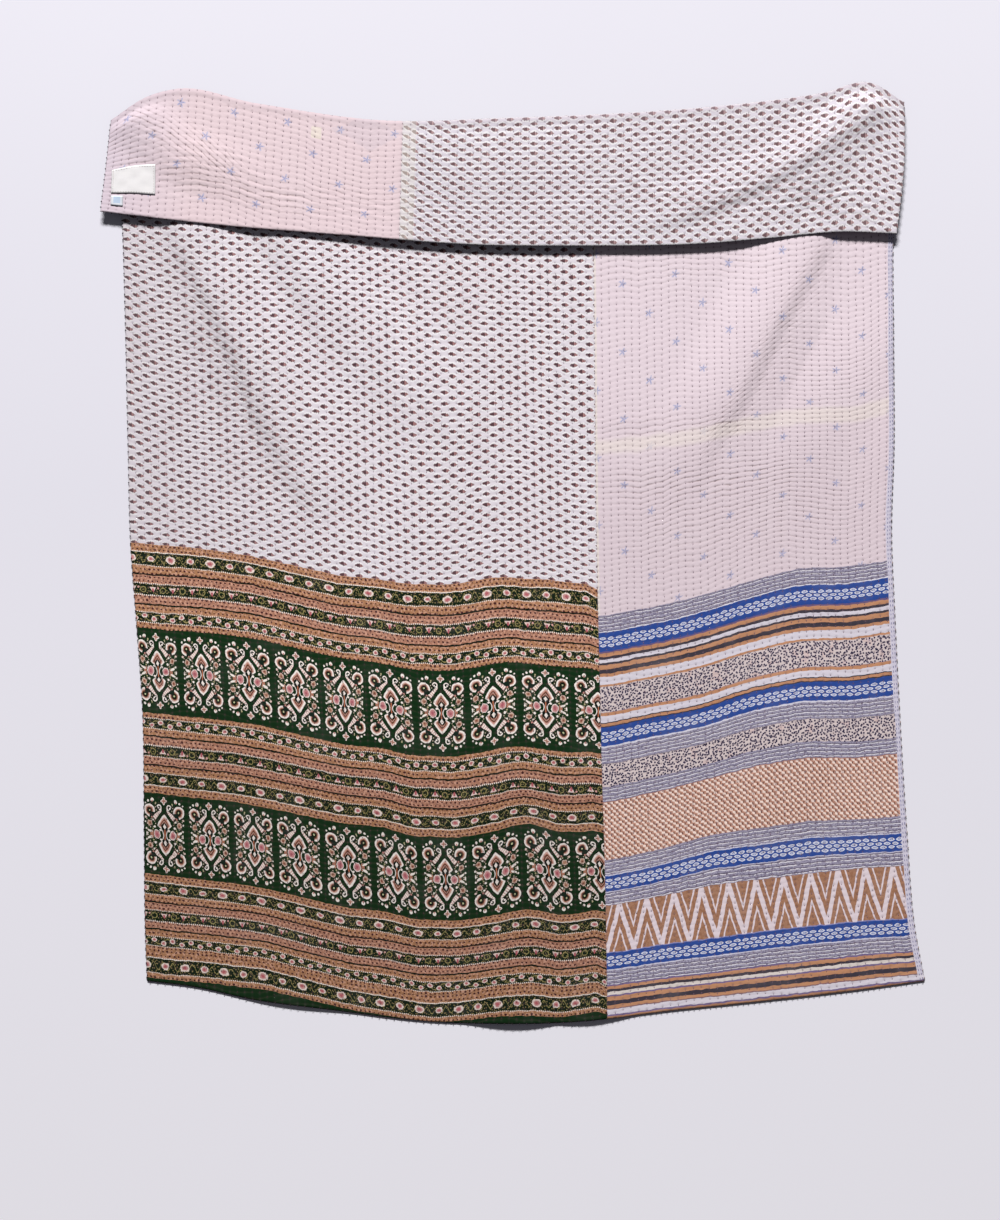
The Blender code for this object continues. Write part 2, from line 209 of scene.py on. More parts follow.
# Where the face's prints lie off their straight lines. Places across the cloth, then places along it,
# each with the shift at those places across, in millimetres.
PRINT_SHIFTS = {
    "face_panel_green_border_cloth": (
        (0.05, 0.2, 0.35, 0.484, 0.6, 0.655, 0.7, 0.76, 0.779),
        (
            (0.008, (-1.5, 10.7, -3.3, -7.8, 3.7, 4.0, 0.5, 6.5, 0.0)),
            (0.058, (6.7, 14.5, -0.5, -1.0, 6.7, 8.0, 4.3, 10.0, 0.0)),
            (0.118, (4.7, 8.3, -7.2, 2.0, -1.7, 2.0, 0.5, 9.0, 0.0)),
            (0.182, (0.8, -1.7, -9.3, 0.3, -9.8, -5.0, -6.3, 4.5, 0.0)),
            (0.317, (1.0, -2.5, -3.5, 7.0, -6.5, 0.5, -2.0, 5.0, 0.0)),
            (0.383, (-2.3, -3.5, -5.5, 4.7, -10.8, -8.0, -4.5, 3.0, 0.0)),
            (0.452, (-1.3, -0.5, -6.0, 5.0, -6.0, -6.5, -2.2, 4.0, 0.0)),
            (0.592, (-1.0, 6.0, -1.5, 4.0, -3.5, -5.7, 0.5, 5.0, 0.0)),
            (0.664, (2.0, 10.0, -1.5, 5.5, 0.0, -3.5, 3.0, 6.5, 0.0)),
            (0.728, (5.5, 10.0, -1.0, 8.5, 3.2, 0.0, 8.5, 10.0, 0.0)),
            (0.788, (0.0, 0.0, 0.0, 0.0, 0.0, 0.0, 0.0, 0.0, 0.0)),
        ),
    ),
    "face_panel_blue_border_cloth": (
        (0.785, 0.866, 0.953, 1.04, 1.127, 1.214, 1.274),
        (
            (0.000, (0.0, 0.0, 0.0, 0.0, 0.0, 0.0, -3.3)),
            (0.090, (0.0, 0.0, -1.7, 0.0, 0.0, -3.3, -8.3)),
            (0.140, (0.0, 0.0, 0.0, 0.0, 0.0, -3.3, -8.3)),
            (0.190, (0.0, 1.7, 5.0, 3.3, 3.3, 1.7, -3.3)),
            (0.240, (0.0, 3.3, 11.7, 10.0, 10.0, 3.3, -1.7)),
            (0.300, (0.0, 3.3, 13.3, 10.0, 10.0, 1.7, 0.0)),
            (0.400, (0.0, 3.3, 8.3, 13.3, 13.3, 3.3, 0.0)),
            (0.500, (1.7, 5.0, 5.0, 10.0, 8.3, 1.7, 0.0)),
            (0.600, (1.7, 3.3, 6.7, 6.7, 6.7, 1.7, 0.0)),
            (0.700, (0.0, 1.7, 6.7, 5.0, 6.7, 3.3, 1.7)),
            (0.800, (0.0, 0.0, 0.0, 0.0, 0.0, 0.0, 0.0)),
        ),
    ),
}

WHIP_PITCH = 0.0125
WHIP_INSET = 0.0014  # how far in from the edge a whip stitch has its middle
WHIP_REACH, WHIP_HEIGHT = 0.0019, 0.0023  # how far it stands off that middle, outwards and upwards
WHIP_TURN = 1.75  # radians that it goes round the edge, each way
WHIP_SLANT = (0.0011, 0.0004)  # how far it slants along the edge, and how much that differs
FLOOR_GAP = 0.0001  # no thread comes closer to the floor
SCALLOP_DEPTH, SCALLOP_REACH = 0.0007, 0.003  # the edge between two whip stitches
THREAD_LIFT = 0.00012

# The meshes' lines.
FINE_STEP, COARSE_STEP = 0.0027, 0.018
COLUMNS_IN_A_ROW = (0.0, 0.28, 0.72)
EDGE_LINES = (0.0003, 0.0012)  # from an edge, where it turns under
LEAST_STEP = 0.0002
FACE_SHOWS_TO = 1.30  # the turned-over end hides the rest
FACE_STITCHED_TO = FACE_SHOWS_TO - 0.01
BACK_STITCHED_FROM = FACE_LENGTH + 0.005
FIRST_STITCH = 0.006  # from an edge

# The labels: the rows that each covers, and its span along the cloth from the end of the fold.
LABEL_ROWS, LABEL_SPAN = (1, 6.5), (0.111, 0.161)
CARE_ROWS, CARE_SPAN = (1, 2.5), (0.166, 0.186)
LABEL_MIDDLE = (0.048, FOLD_END + 0.136)
LABEL_SLANT, LABEL_LEAN = 0.05, 0.06  # the labels are sewn on out of line with the rows
LABEL_LIFT, CARE_LIFT = 0.0009, 0.0010  # clear of the quilting
LABEL_GIVES = 0.35  # how far the labels follow the small wrinkles
LABEL_EASE = 0.0004  # how far they stand off, unevenly
LABEL_STEP, TAPE_THICKNESS = 0.003, 0.0005
LABEL_STITCH_INSET, LABEL_STITCH_PITCH = 0.0028, 0.0042
LABEL_STITCH_SIZES = (0.0003, 0.0003, 0.0012)

FLOOR_REACH = 30.0
FLOOR_DROP = 0.0004  # the floor lies clear of the quilt's underside
CAMERA_HEIGHT = 4.5
FRAME_HEIGHT = 1220 * 0.0016667  # what the camera sees of the floor, from top to bottom
FRAME_CENTRE = (-0.0217, -0.095)


def linear(colour):
    """A linear RGBA colour from an sRGB hex value. Any other colour, or a colour's socket, stays as it is."""
    if not isinstance(colour, str):
        return colour
    channels = [int(colour[k : k + 2], 16) / 255 for k in (1, 3, 5)]
    return (*(c / 12.92 if c <= 0.04045 else ((c + 0.055) / 1.055) ** 2.4 for c in channels), 1.0)


# --- The cloth's own map: flat places to world places, in metres. ---


def through(knots, values, at):
    """A smooth curve through values, given at the knots, read at each number in `at`."""
    knots = np.array(knots, float)
    values = np.array(values, float).reshape(len(knots), -1) * np.ones((1, len(at)))
    slopes = np.gradient(values, knots, axis=0)
    k = np.clip(np.searchsorted(knots, at) - 1, 0, len(knots) - 2)
    each = np.arange(len(at))
    run = knots[k + 1] - knots[k]
    s = (at - knots[k]) / run
    low, high = values[k, each], values[k + 1, each]
    low_slope, high_slope = slopes[k, each] * run, slopes[k + 1, each] * run
    return (
        (2 * s**3 - 3 * s**2 + 1) * low
        + (3 * s**2 - 2 * s**3) * high
        + (s**3 - 2 * s**2 + s) * low_slope
        + (s**3 - s**2) * high_slope
    )


def line_at(line, share):
    """The y of a line across the cloth, at each share of the width."""
    shares, heights = zip(*line)
    return through(shares, heights, share)


def soft_steps(s):
    """0 up to s = 0, 1 from s = 1, and smooth between."""
    s = np.clip(s, 0.0, 1.0)
    return s * s * (3 - 2 * s)


def beside(start, end, x, y):
    """How far on, as a share, and how far aside of a line each (x, y) lies, and the line's length."""
    (x0, y0), (x1, y1) = start, end
    dx, dy = x1 - x0, y1 - y0
    length = math.hypot(dx, dy)
    on = ((x - x0) * dx + (y - y0) * dy) / length**2
    aside = ((x - x0) * dy - (y - y0) * dx) / length
    return on, aside, length


def raised(folds, x, y):
    """How far the folds lift the cloth at each (x, y): the highest of them, never below the floor."""
    lift = np.zeros_like(x)
    for points, heights, left, right in folds:
        for start, end, low, high in zip(points, points[1:], heights, heights[1:]):
            on, aside, length = beside(start, end, x, y)
            held = np.clip(on, 0.0, 1.0)
            away = np.hypot(aside, (on - held) * length)
            reach = np.where(aside < 0, left, right)
            crest = low + (high - low) * soft_steps(held)
            lift = np.maximum(lift, crest * np.clip(1 - (away / reach) ** 2, 0.0, 1.0) ** 2)
    return lift


def middle(across, along):
    """World places of the middle of the cloth, one row for each (across, along)."""
    share = across / FLAT_WIDTH
    alongs, *edges = zip(*EDGES)
    left, seam, right = (through(alongs, edge, along) for edge in edges)
    x = np.where(
        share < SEAM_SHARE,
        left + (seam - left) * share / SEAM_SHARE,
        seam + (right - seam) * (share - SEAM_SHARE) / (1 - SEAM_SHARE),
    )
    crown = line_at(FOLD, share)
    line_ends = [line_at(line, share) for _, line in FACE_LINES]
    line_ends[-1] = crown - BEND_RADIUS
    face_y = through([start for start, _ in FACE_LINES], line_ends, np.minimum(along, FACE_LENGTH))
    turn = np.clip((along - FACE_LENGTH) / BEND_RADIUS, 0.0, math.pi)
    down = np.clip((along - FOLD_END) / FLAP_LENGTH, 0.0, None)
    flap_y = (line_at(FLAP_EDGE, share) - crown + BEND_RADIUS) * down
    y = face_y + BEND_RADIUS * np.sin(turn) + flap_y
    z = SKIN + BEND_RADIUS * (1 - np.cos(turn))
    z += np.where(along < FACE_LENGTH, raised(FACE_FOLDS, x, y), 0.0)
    fade = soft_steps((along - FOLD_END) / FLAP_FOLDS_FADE)
    z += np.where(along > FOLD_END, fade * raised(FLAP_FOLDS, x, y), 0.0)
    return np.stack([x, y, z], axis=1)


def cloth_points(across, along, proud):
    """World places `proud` of the middle of the cloth, along its normal on the face's side."""
    across, along, proud = np.broadcast_arrays(*(np.asarray(each, float) for each in (across, along, proud)))
    step = 0.0005
    sideways = middle(across + step, along) - middle(across - step, along)
    lengthways = middle(across, along + step) - middle(across, along - step)
    normal = np.cross(sideways, lengthways)
    normal /= np.linalg.norm(normal, axis=1, keepdims=True)
    return middle(across, along) + proud[:, None] * normal


def along_band(start, end, reach, x, y):
    """How far on and how far aside of a band's middle line each (x, y) lies, and how much the band holds."""
    on, aside, _ = beside(start, end, x, y)
    held = np.exp(-((aside / reach) ** 2)) * soft_steps(on * 3 + 0.5) * soft_steps((1 - on) * 3 + 0.5)
    return on, aside, held


def wrinkled(bundles, x, y):
    """The height of the small wrinkles at each (x, y)."""
    lift = np.zeros_like(x)
    for start, end, reach, pitch, height in bundles:
        on, aside, held = along_band(start, end, reach, x, y)
        wander = pitch * (0.35 * np.sin(9 * on + 40 * aside) + 0.2 * np.sin(23 * on + 1.7))
        lift += height * held * np.cos(2 * math.pi * (aside + wander) / pitch)
    return lift


def creased(bands, x, y):
    """How deep the three kinds of crease are at each (x, y): those that move back a stitch at each row,
    those that stay level, and those that move on one."""
    depths = np.zeros((len(x), 3))
    depths[:, 1] = PLAIN_CREASE
    for start, end, reach, depth, lean in bands:
        depths[:, lean + 1] += depth * along_band(start, end, reach, x, y)[2]
    return depths


def stitch_phase(across, along):
    """Counts the stitches along the rows. A stitch shows at each whole number, and the count drifts
    slowly from row to row, so that the puckers join up in wavy lines."""
    row = across / ROW_PITCH
    drift = np.interp(row, np.arange(ROWS + 1), ROW_DRIFTS)
    waves = along / STITCH_PITCH + drift + 0.6 * np.sin(6.1 * along + 0.23 * row)
    return waves + 0.3 * np.sin(19 * along - 0.41 * row)


def quilted(across, along, side, sizes):
    """How far the quilting stands proud of the plain cloth, on the side that shows."""
    shows = along < FACE_STITCHED_TO if side > 0 else along > BACK_STITCHED_FROM
    bundles, crests = (FACE_WRINKLES, FACE_CRESTS) if side > 0 else (FLAP_WRINKLES, FLAP_CRESTS)
    pillow = np.abs(np.sin(math.pi * across / ROW_PITCH)) ** 0.7
    phase = stitch_phase(across, along)
    pucker = np.exp(-(((phase - np.rint(phase)) * STITCH_PITCH / PUCKER_REACH) ** 2))
    uneven = 0.8 + 0.2 * np.sin(31 * across + 17 * along) * np.sin(43 * along - 11 * across)
    x, y, _ = middle(across, along).T
    fine = sizes.pillow_height * pillow * uneven - sizes.pucker_depth * pucker * (1 - 0.45 * pillow)
    fine += wrinkled(bundles, x, y) + raised(crests, x, y)
    return np.where(shows, fine, -UNDERSIDE_RELIEF * (1 - pillow))


def print_shift(table, across, along):
    """How far up the cloth the print has crept at each place."""
    sides, lines = table
    starts, shifts = zip(*lines)
    columns, column_of = np.unique(across, return_inverse=True)
    alongs, along_of = np.unique(along, return_inverse=True)
    at_sides = np.array([np.interp(alongs, starts, side) for side in zip(*shifts)])
    at_columns = np.array([np.interp(columns, sides, line) for line in at_sides.T])
    return 0.001 * at_columns[along_of, column_of]


def edge_share(across, along):
    """0 on the quilt's edges and 1 from EDGE_ROUND inwards, on a quarter circle."""
    inwards = np.minimum.reduce([across, FLAT_WIDTH - across, along, FLAT_LENGTH - along])
    return np.sqrt(1 - (1 - np.clip(inwards / EDGE_ROUND, 0.0, 1.0)) ** 2)


def surface_proud(across, along, side, sizes):
    """The height of a layer's outer surface above the middle of the cloth, on the face's side."""
    seam = (FACE_SEAM_ROW if side > 0 else BACK_SEAM_ROW) * ROW_PITCH
    dip = sizes.seam_dip * np.exp(-((np.abs(across - seam) / SEAM_REACH) ** 2))
    rounding = edge_share(across, along)
    return side * rounding * (SKIN + quilted(across, along, side, sizes) - dip)


def spread(start, end, step):
    """Numbers from start to end, about a step apart."""
    return np.linspace(start, end, max(2, round((end - start) / step) + 1))


def panel_columns(first_row, last_row):
    """Lines down a panel: three for each row, and closer ones at the quilt's own edge."""
    rows = [row + part for row in range(first_row, last_row) for part in COLUMNS_IN_A_ROW] + [last_row]
    columns = [np.array(rows) * ROW_PITCH]
    if first_row == 0:
        columns.append(np.array(EDGE_LINES))
    if last_row == ROWS:
        columns.append(FLAT_WIDTH - np.array(EDGE_LINES))
    return np.unique(np.concatenate(columns))


def panel_lines(side):
    """Lines across a panel: close where the side shows, and far apart where it is hidden."""
    near_end = np.array([*EDGE_LINES, EDGE_ROUND])
    pieces = [
        spread(0.0, FACE_SHOWS_TO, FINE_STEP if side > 0 else COARSE_STEP),
        spread(FACE_SHOWS_TO, FACE_LENGTH, COARSE_STEP),
        spread(FACE_LENGTH, FOLD_END, FINE_STEP),
        spread(FOLD_END, FLAT_LENGTH, COARSE_STEP if side > 0 else FINE_STEP),
        near_end,
        FLAT_LENGTH - near_end,
    ]
    lines = np.unique(np.round(np.concatenate(pieces), 6))
    near = (np.diff(lines) < LEAST_STEP).nonzero()[0] + 1
    return np.delete(lines, near)


# --- Meshes. ---


def mesh_of(bm, name):
    """The mesh that a bmesh holds. The bmesh is done with."""
    mesh = bpy.data.meshes.new(name)
    bm.to_mesh(mesh)
    bm.free()
    return mesh


def new_piece(name, mesh, material):
    """Puts a finished mesh in the scene."""
    mesh.materials.append(material)
    mesh.shade_smooth()
    piece = bpy.data.objects.new(name, mesh)
    bpy.context.scene.collection.objects.link(piece)
    return piece


def vertex_places(mesh):
    places = np.empty(len(mesh.vertices) * 3)
    mesh.vertices.foreach_get("co", places)
    return places.reshape(-1, 3)


def lay_flat_map(mesh, across, along):
    """Gives the mesh its flat places, in metres, as its UV map."""
    corners = np.empty(len(mesh.loops), int)
    mesh.loops.foreach_get("vertex_index", corners)
    flat = mesh.uv_layers.new(name="flat_metres")
    flat.uv.foreach_set("vector", np.stack([across, along], axis=1)[corners].ravel())


def grid_mesh(name, columns, lines, side):
    """A flat grid with a vertex for each column and line, facing out on the given side."""
    bm = bmesh.new()
    bmesh.ops.create_grid(bm, x_segments=len(columns) - 1, y_segments=len(lines) - 1, size=0.5)
    if side < 0:
        bmesh.ops.reverse_faces(bm, faces=bm.faces)
    mesh = mesh_of(bm, name)
    flat = vertex_places(mesh) + 0.5
    across = columns[np.rint(flat[:, 0] * (len(columns) - 1)).astype(int)]
    along = lines[np.rint(flat[:, 1] * (len(lines) - 1)).astype(int)]
    return mesh, across, along


def quilted_sheet(name, rows, side, material, sizes):
    """One panel of one layer, as the sheet of its outer surface."""
    mesh, across, along = grid_mesh(name, panel_columns(*rows), panel_lines(side), side)
    scallop = SCALLOP_DEPTH * np.cos(2 * math.pi * along / WHIP_PITCH)
    pull = np.exp(-across / SCALLOP_REACH) - np.exp(-(FLAT_WIDTH - across) / SCALLOP_REACH)
    shaped = np.clip(across + scallop * pull, 0.0, FLAT_WIDTH)
    places = cloth_points(shaped, along, surface_proud(across, along, side, sizes))
    mesh.vertices.foreach_set("co", places.ravel())
    shift = print_shift(PRINT_SHIFTS[name], across, along) if name in PRINT_SHIFTS else 0.0
    lay_flat_map(mesh, across, along - shift)
    phase = mesh.attributes.new("stitch_phase", "FLOAT", "POINT")
    phase.data.foreach_set("value", stitch_phase(across, along))
    creases = mesh.attributes.new("creases", "FLOAT_VECTOR", "POINT")
    depths = creased(FACE_CREASES if side > 0 else FLAP_CREASES, places[:, 0], places[:, 1])
    creases.data.foreach_set("vector", depths.ravel())
    mesh.update()
    return new_piece(name, mesh, material)


def stitch_places(rows, start, end, rng):
    """Flat places of the running stitches on those rows, a little uneven as a hand makes them."""
    steps = np.linspace(start, end, STITCH_COUNTS)
    places = []
    for row in rows:
        count = stitch_phase(np.full_like(steps, row * ROW_PITCH), steps)
        at = np.interp(np.arange(math.ceil(count[0]), math.floor(count[-1]) + 1), count, steps)
        places.append(np.stack([np.full_like(at, row * ROW_PITCH), at], axis=1))
    places = np.concatenate(places)
    return places + rng.normal(0.0, 1.0, places.shape) * STITCH_SCATTER


def copies(shape, count):
    """A mesh of that many copies of one shape, one after another, and the shape's own x, y and z."""
    mesh = mesh_of(shape, "shape")
    x, y, z = (vertex_places(mesh)[None, :, k, None] for k in range(3))
    holder = bpy.data.objects.new("shape", mesh)
    bpy.context.scene.collection.objects.link(holder)
    holder.modifiers.new("copies", "ARRAY").count = count
    made = bpy.data.meshes.new_from_object(holder.evaluated_get(bpy.context.evaluated_depsgraph_get()))
    bpy.data.objects.remove(holder)
    return made, x, y, z


def unit(steps):
    return steps / np.linalg.norm(steps, axis=-1, keepdims=True)


def running_stitches(name, rows, start, end, side, material, sizes):
    """All the stitches that show on part of one side, as spindles pulled into the cloth."""
    rng = np.random.default_rng(len(name))
    across, along = stitch_places(rows, start, end, rng).T
    proud = surface_proud(across, along, side, sizes) + side * THREAD_LIFT
    centre = cloth_points(across, along, proud)
    ahead = unit(cloth_points(across, along + 0.001, proud) - centre)
    aside = unit(cloth_points(across + 0.001, along, proud) - centre)
    upward = np.cross(aside, ahead)
    ahead = unit(ahead + aside * rng.normal(0.0, STITCH_LEAN, (len(centre), 1)))
    lengths = sizes.stitch_length / 2 * rng.uniform(*STITCH_LENGTHS, (len(centre), 1))
    spindle = bmesh.new()
    bmesh.ops.create_uvsphere(spindle, u_segments=4, v_segments=2, radius=1.0)
    mesh, x, y, z = copies(spindle, len(centre))
    thread = sizes.thread_width
    places = centre[:, None] + x * (aside * thread / 2)[:, None]
    places += y * (upward * thread * THREAD_FLATNESS)[:, None]
    places += z * (ahead * lengths)[:, None]
    mesh.vertices.foreach_set("co", places.ravel())
    return new_piece(name, mesh, material)


def whip_stitches(name, across, along, out, material, sizes):
    """Stitches over an edge, at those flat places on it. out is a step off the cloth."""
    rng = np.random.default_rng(len(name))
    inside = (across - out[0] * WHIP_INSET, along - out[1] * WHIP_INSET)
    centre = cloth_points(*inside, 0.0)
    off = unit(cloth_points(across, along, 0.0) - centre)
    upward = unit(cloth_points(*inside, 0.001) - centre)
    run = np.cross(off, upward)
    slant = rng.normal(*WHIP_SLANT, (len(centre), 1))
    thick = sizes.thread_width * 0.5
    bead = bmesh.new()
    bmesh.ops.create_uvsphere(bead, u_segments=5, v_segments=7, radius=1.0)
    mesh, x, y, z = copies(bead, len(centre))
    away = 1 + x * thick / WHIP_REACH
    places = centre[:, None] + off[:, None] * np.cos(z * WHIP_TURN) * WHIP_REACH * away
    places += upward[:, None] * np.sin(z * WHIP_TURN) * WHIP_HEIGHT * away
    places += run[:, None] * (y * thick + slant[:, None] * z)
    places[..., 2] = np.maximum(places[..., 2], FLOOR_GAP)
    mesh.vertices.foreach_set("co", places.ravel())
    return new_piece(name, mesh, material)


# --- Materials. ---


def plug(tree, node, inputs):
    """Sets or links a node's inputs."""
    for key, value in inputs.items() if isinstance(inputs, dict) else enumerate(inputs):
        value = getattr(value, "socket", value)
        if isinstance(value, bpy.types.NodeSocket):
            tree.links.new(value, node.inputs[key])
        else:
            node.inputs[key].default_value = value


def add(tree, kind, settings=None, inputs=()):
    """Adds a node, gives it its settings, and sets or links its inputs."""
    node = tree.nodes.new("ShaderNode" + kind)
    for name, value in (settings or {}).items():
        setattr(node, name, value)
    plug(tree, node, inputs)
    return node


class Spread:
    """A number that differs from place to place on a surface. Arithmetic on it is done by the material.
    A comparison gives 1 or 0, and such numbers are joined with & and |."""

    def __init__(self, tree, socket):
        self.tree, self.socket = tree, socket

    def by(self, operation, *others):
        return Spread(self.tree, add(self.tree, "Math", {"operation": operation}, (self, *others)).outputs[0])

    __add__ = __radd__ = partialmethod(by, "ADD")
    __sub__ = partialmethod(by, "SUBTRACT")
    __rsub__ = partialmethod(by, "MULTIPLY_ADD", -1.0)
    __mul__ = __rmul__ = __and__ = partialmethod(by, "MULTIPLY")
    __truediv__ = partialmethod(by, "DIVIDE")
    __pow__ = partialmethod(by, "POWER")
    __lt__ = partialmethod(by, "LESS_THAN")
    __gt__ = partialmethod(by, "GREATER_THAN")
    __or__ = at_least = partialmethod(by, "MAXIMUM")
    at_most = partialmethod(by, "MINIMUM")
    __abs__ = partialmethod(by, "ABSOLUTE")
    whole = partialmethod(by, "FLOOR")
    cosine = partialmethod(by, "COSINE")
    turn_to = partialmethod(by, "ARCTAN2")
    odd = partialmethod(by, "PINGPONG", 1.0)  # 0 where a whole number is even, 1 where it is odd

    def wrapped(self, pitch):
        """The distance from the nearest multiple of pitch, with its sign."""
        return self.by("WRAP", pitch / 2, -pitch / 2)

    def folded(self, pitch):
        """The distance from the nearest multiple of pitch."""
        return self.by("PINGPONG", pitch / 2)

    def clamped(self):
        return self.at_least(0.0).at_most(1.0)

    def wave(self, pitch):
        return (self * (2 * math.pi / pitch)).by("SINE")

    def fading(self):
        """1 where it is 0, falling off smoothly as it grows."""
        return (self * -1.0).by("EXPONENT")

    def within(self, *ends):
        """1 between the first two ends, between the next two, and so on."""
        spans = [(self > low) & (self < high) for low, high in zip(ends[::2], ends[1::2])]
        return reduce(Spread.__or__, spans)


def from_point(x, y, at_x=0.0, at_y=0.0):
    """The distance from a point."""
    return ((x - at_x) ** 2 + (y - at_y) ** 2) ** 0.5


class Finish:
    """The finish of one material: colours laid over its ground, and the shader's sockets."""

    def __init__(self, name, ground):
        self.material = bpy.data.materials.new(name)
        self.material.use_nodes = True
        self.tree = self.material.node_tree
        self.shader = self.tree.nodes["Principled BSDF"]
        self.colour = linear(ground)

    def lay(self, where, colour):
        """Dyes or paints it a colour, or another colour's socket, as far as `where` says."""
        inputs = {0: where, 6: self.colour, 7: linear(colour)}
        self.colour = add(self.tree, "Mix", {"data_type": "RGBA"}, inputs).outputs[2]

    def mottled(self, places, scale, colour, settings=None, **inputs):
        """Lays another colour on it in soft patches."""
        patches = add(self.tree, "TexNoise", settings, {"Vector": places, "Scale": scale, **inputs})
        self.lay(patches.outputs[0], colour)

    def done(self, roughness, specular, height=None, strength=1.0, distance=0.001, **others):
        """Plugs in the shader, with a relief if there is a height."""
        sockets = {"Base Color": self.colour, "Roughness": roughness, "Specular IOR Level": specular}
        if height is not None:
            relief = {"Strength": strength, "Distance": distance, "Height": height}
            sockets["Normal"] = add(self.tree, "Bump", inputs=relief).outputs[0]
        plug(self.tree, self.shader, {**sockets, **others})
        return self.material


class Cloth(Finish):
    """The material of one cloth. x and y are its flat places in millimetres."""

    def __init__(self, name, ground):
        super().__init__(name, ground)
        self.flat = add(self.tree, "UVMap", {"uv_map": "flat_metres"}).outputs[0]
        places = add(self.tree, "SeparateXYZ", inputs=(self.flat,))
        self.flat_x, self.flat_y = (Spread(self.tree, places.outputs[k]) * 1000.0 for k in (0, 1))
        # The print follows the puckers, a millimetre or so off its straight lines.
        self.x = self.flat_x + (self.mottle(16.0) - 0.5) * 2.4
        self.y = self.flat_y + (self.mottle(13.0) - 0.5) * 3.6
        phase = add(self.tree, "Attribute", {"attribute_name": "stitch_phase"})
        self.phase = Spread(self.tree, phase.outputs["Fac"])

    def stripes(self, at, start, end, table):
        """Colour and share of stripes across `at`, from a table of where each starts and its colour."""
        ramp = add(self.tree, "ValToRGB", inputs=((at - start) / (end - start),))
        ramp.color_ramp.interpolation = "CONSTANT"
        stops = ramp.color_ramp.elements
        stops.remove(stops[1])
        for k, (begins, colour) in enumerate(table):
            share = (begins - start) / (end - start)
            stop = stops[0] if k == 0 else stops.new(share)
            stop.position = share
            stop.color = linear(colour)
        return ramp.outputs

    def counted(self, at, marks):
        """How many of the marks `at` has passed, with the share of the way to the next."""
        low, high = marks[0], marks[-1]
        curve = add(self.tree, "FloatCurve", inputs={1: (at - low) / (high - low)})
        points = curve.mapping.curves[0].points
        for k, mark in enumerate(marks[1:-1]):
            points.new((mark - low) / (high - low), (k + 1) / (len(marks) - 1))
        for point in points:
            point.handle_type = "VECTOR"
        curve.mapping.update()
        return Spread(self.tree, curve.outputs[0]) * (len(marks) - 1.0)

    def mottle(self, size, detail=2.0):
        """A soft random spread of about 0 to 1, in patches of a size in millimetres."""
        inputs = {"Vector": self.flat, "Scale": 1000 / size, "Detail": detail}
        return Spread(self.tree, add(self.tree, "TexNoise", {"noise_dimensions": "2D"}, inputs).outputs[0])

    def seeds(self, scale, places=None):
        """The distance from the nearest of many strewn seeds."""
        inputs = {"Vector": places or self.flat, "Scale": scale}
        seeds = add(self.tree, "TexVoronoi", {"voronoi_dimensions": "2D"}, inputs)
        return Spread(self.tree, seeds.outputs["Distance"])

    def worn_soft_and_shaded(self, thread=1.0, worn=0.18):
        """Cotton lawn worn soft: matt, faintly furry, pulled in by the stitches and creased between them,
        with painted shade in its creases, stitches, rows and folded edge.
        """
        row = self.flat_x / (1000 * ROW_PITCH)
        from_row = self.flat_x.folded(1000 * ROW_PITCH)
        stitch = 1000 * STITCH_PITCH
        from_stitch = self.phase.folded(1.0) * stitch
        pull = ((from_row**2) * 0.25 + (from_stitch**2) * 0.14).fading()
        depths = add(self.tree, "Attribute", {"attribute_name": "creases"}).outputs["Vector"]
        depths = add(self.tree, "SeparateXYZ", inputs=(depths,))
        creases = 0.0
        for k, lean in enumerate((-1.0, 0.0, 1.0)):
            from_crease = (self.phase - row * lean + (self.mottle(9.0) - 0.5) * 0.25).folded(1.0) * stitch
            creases = ((from_crease**2) * 0.55).fading() * Spread(self.tree, depths.outputs[k]) + creases
        creases = creases & (self.mottle(16.0) * 2.6 - 0.5).at_least(0.0)
        # Painted shade: the creases, the stitches' dimples and the rows' valleys are laid darker; thread
        # scales this painted shade at the stitches and rows.
        self.lay(creases * 0.45, "#7C625C")
        self.lay(pull * 0.13 * thread, "#7A6470")
        self.lay(((from_row**2) * 0.5).fading() * 0.025 * thread, "#7A6470")
        # Painted shade along the folded edge, to hold down its crest, which the low key lamp lights most.
        folded = self.flat_y - 1000 * (FACE_LENGTH + 0.75 * math.pi * BEND_RADIUS)
        self.lay(((folded / 8.0) ** 2).fading() * 0.45, "#837880")
        self.lay((self.mottle(70.0, 4.0) - 0.5) * worn, "#F4EEF0")
        # Threads of 0.35 mm would not show: the weave is drawn at 1.2 mm.
        weave = self.flat_x.wave(1.2) * 0.02 + self.flat_y.wave(1.2) * 0.02
        height = weave - pull * 0.32 - creases * 0.26 + self.mottle(7.0) * 0.18
        return self.done(0.9, 0.12, height, **{"Sheen Weight": 0.04, "Sheen Roughness": 0.5})


def print_buds(cloth, across, apart, slant=0.03, ink=1.0):
    """Lying buds of 13 by 6 mm in half-drop columns, dark on one half and tan on the other, hatched."""
    column = (cloth.x / across).whole()
    x = (cloth.x - across / 2).wrapped(across)
    y = (cloth.y + column.odd() * (apart / 2)).wrapped(apart)
    bleed = cloth.mottle(2.6) - 0.5
    shape = abs(y + x * slant) / 2.9 + (abs(x) / 7.0) ** 1.8 + bleed * 1.1
    cloth.lay((shape < 1.9) * 0.75, "#FBFAFC")
    cloth.lay((shape < 1.2) * (0.5 * ink), "#A48992")
    cloth.lay((shape < 0.97) * (0.85 * ink), "#A66C69")
    cloth.lay((shape < 0.97) & (x < 0.8) & (x > -5.8) * (0.85 * ink), "#49303B")
    cloth.lay((shape < 1.25) & (x.wave(3.0) > 0.1) * (0.4 * ink), "#452F38")
    cloth.lay((abs(x - 0.4) < 0.6) & (abs(y) < 4.0) * (0.5 * ink), "#4A3741")


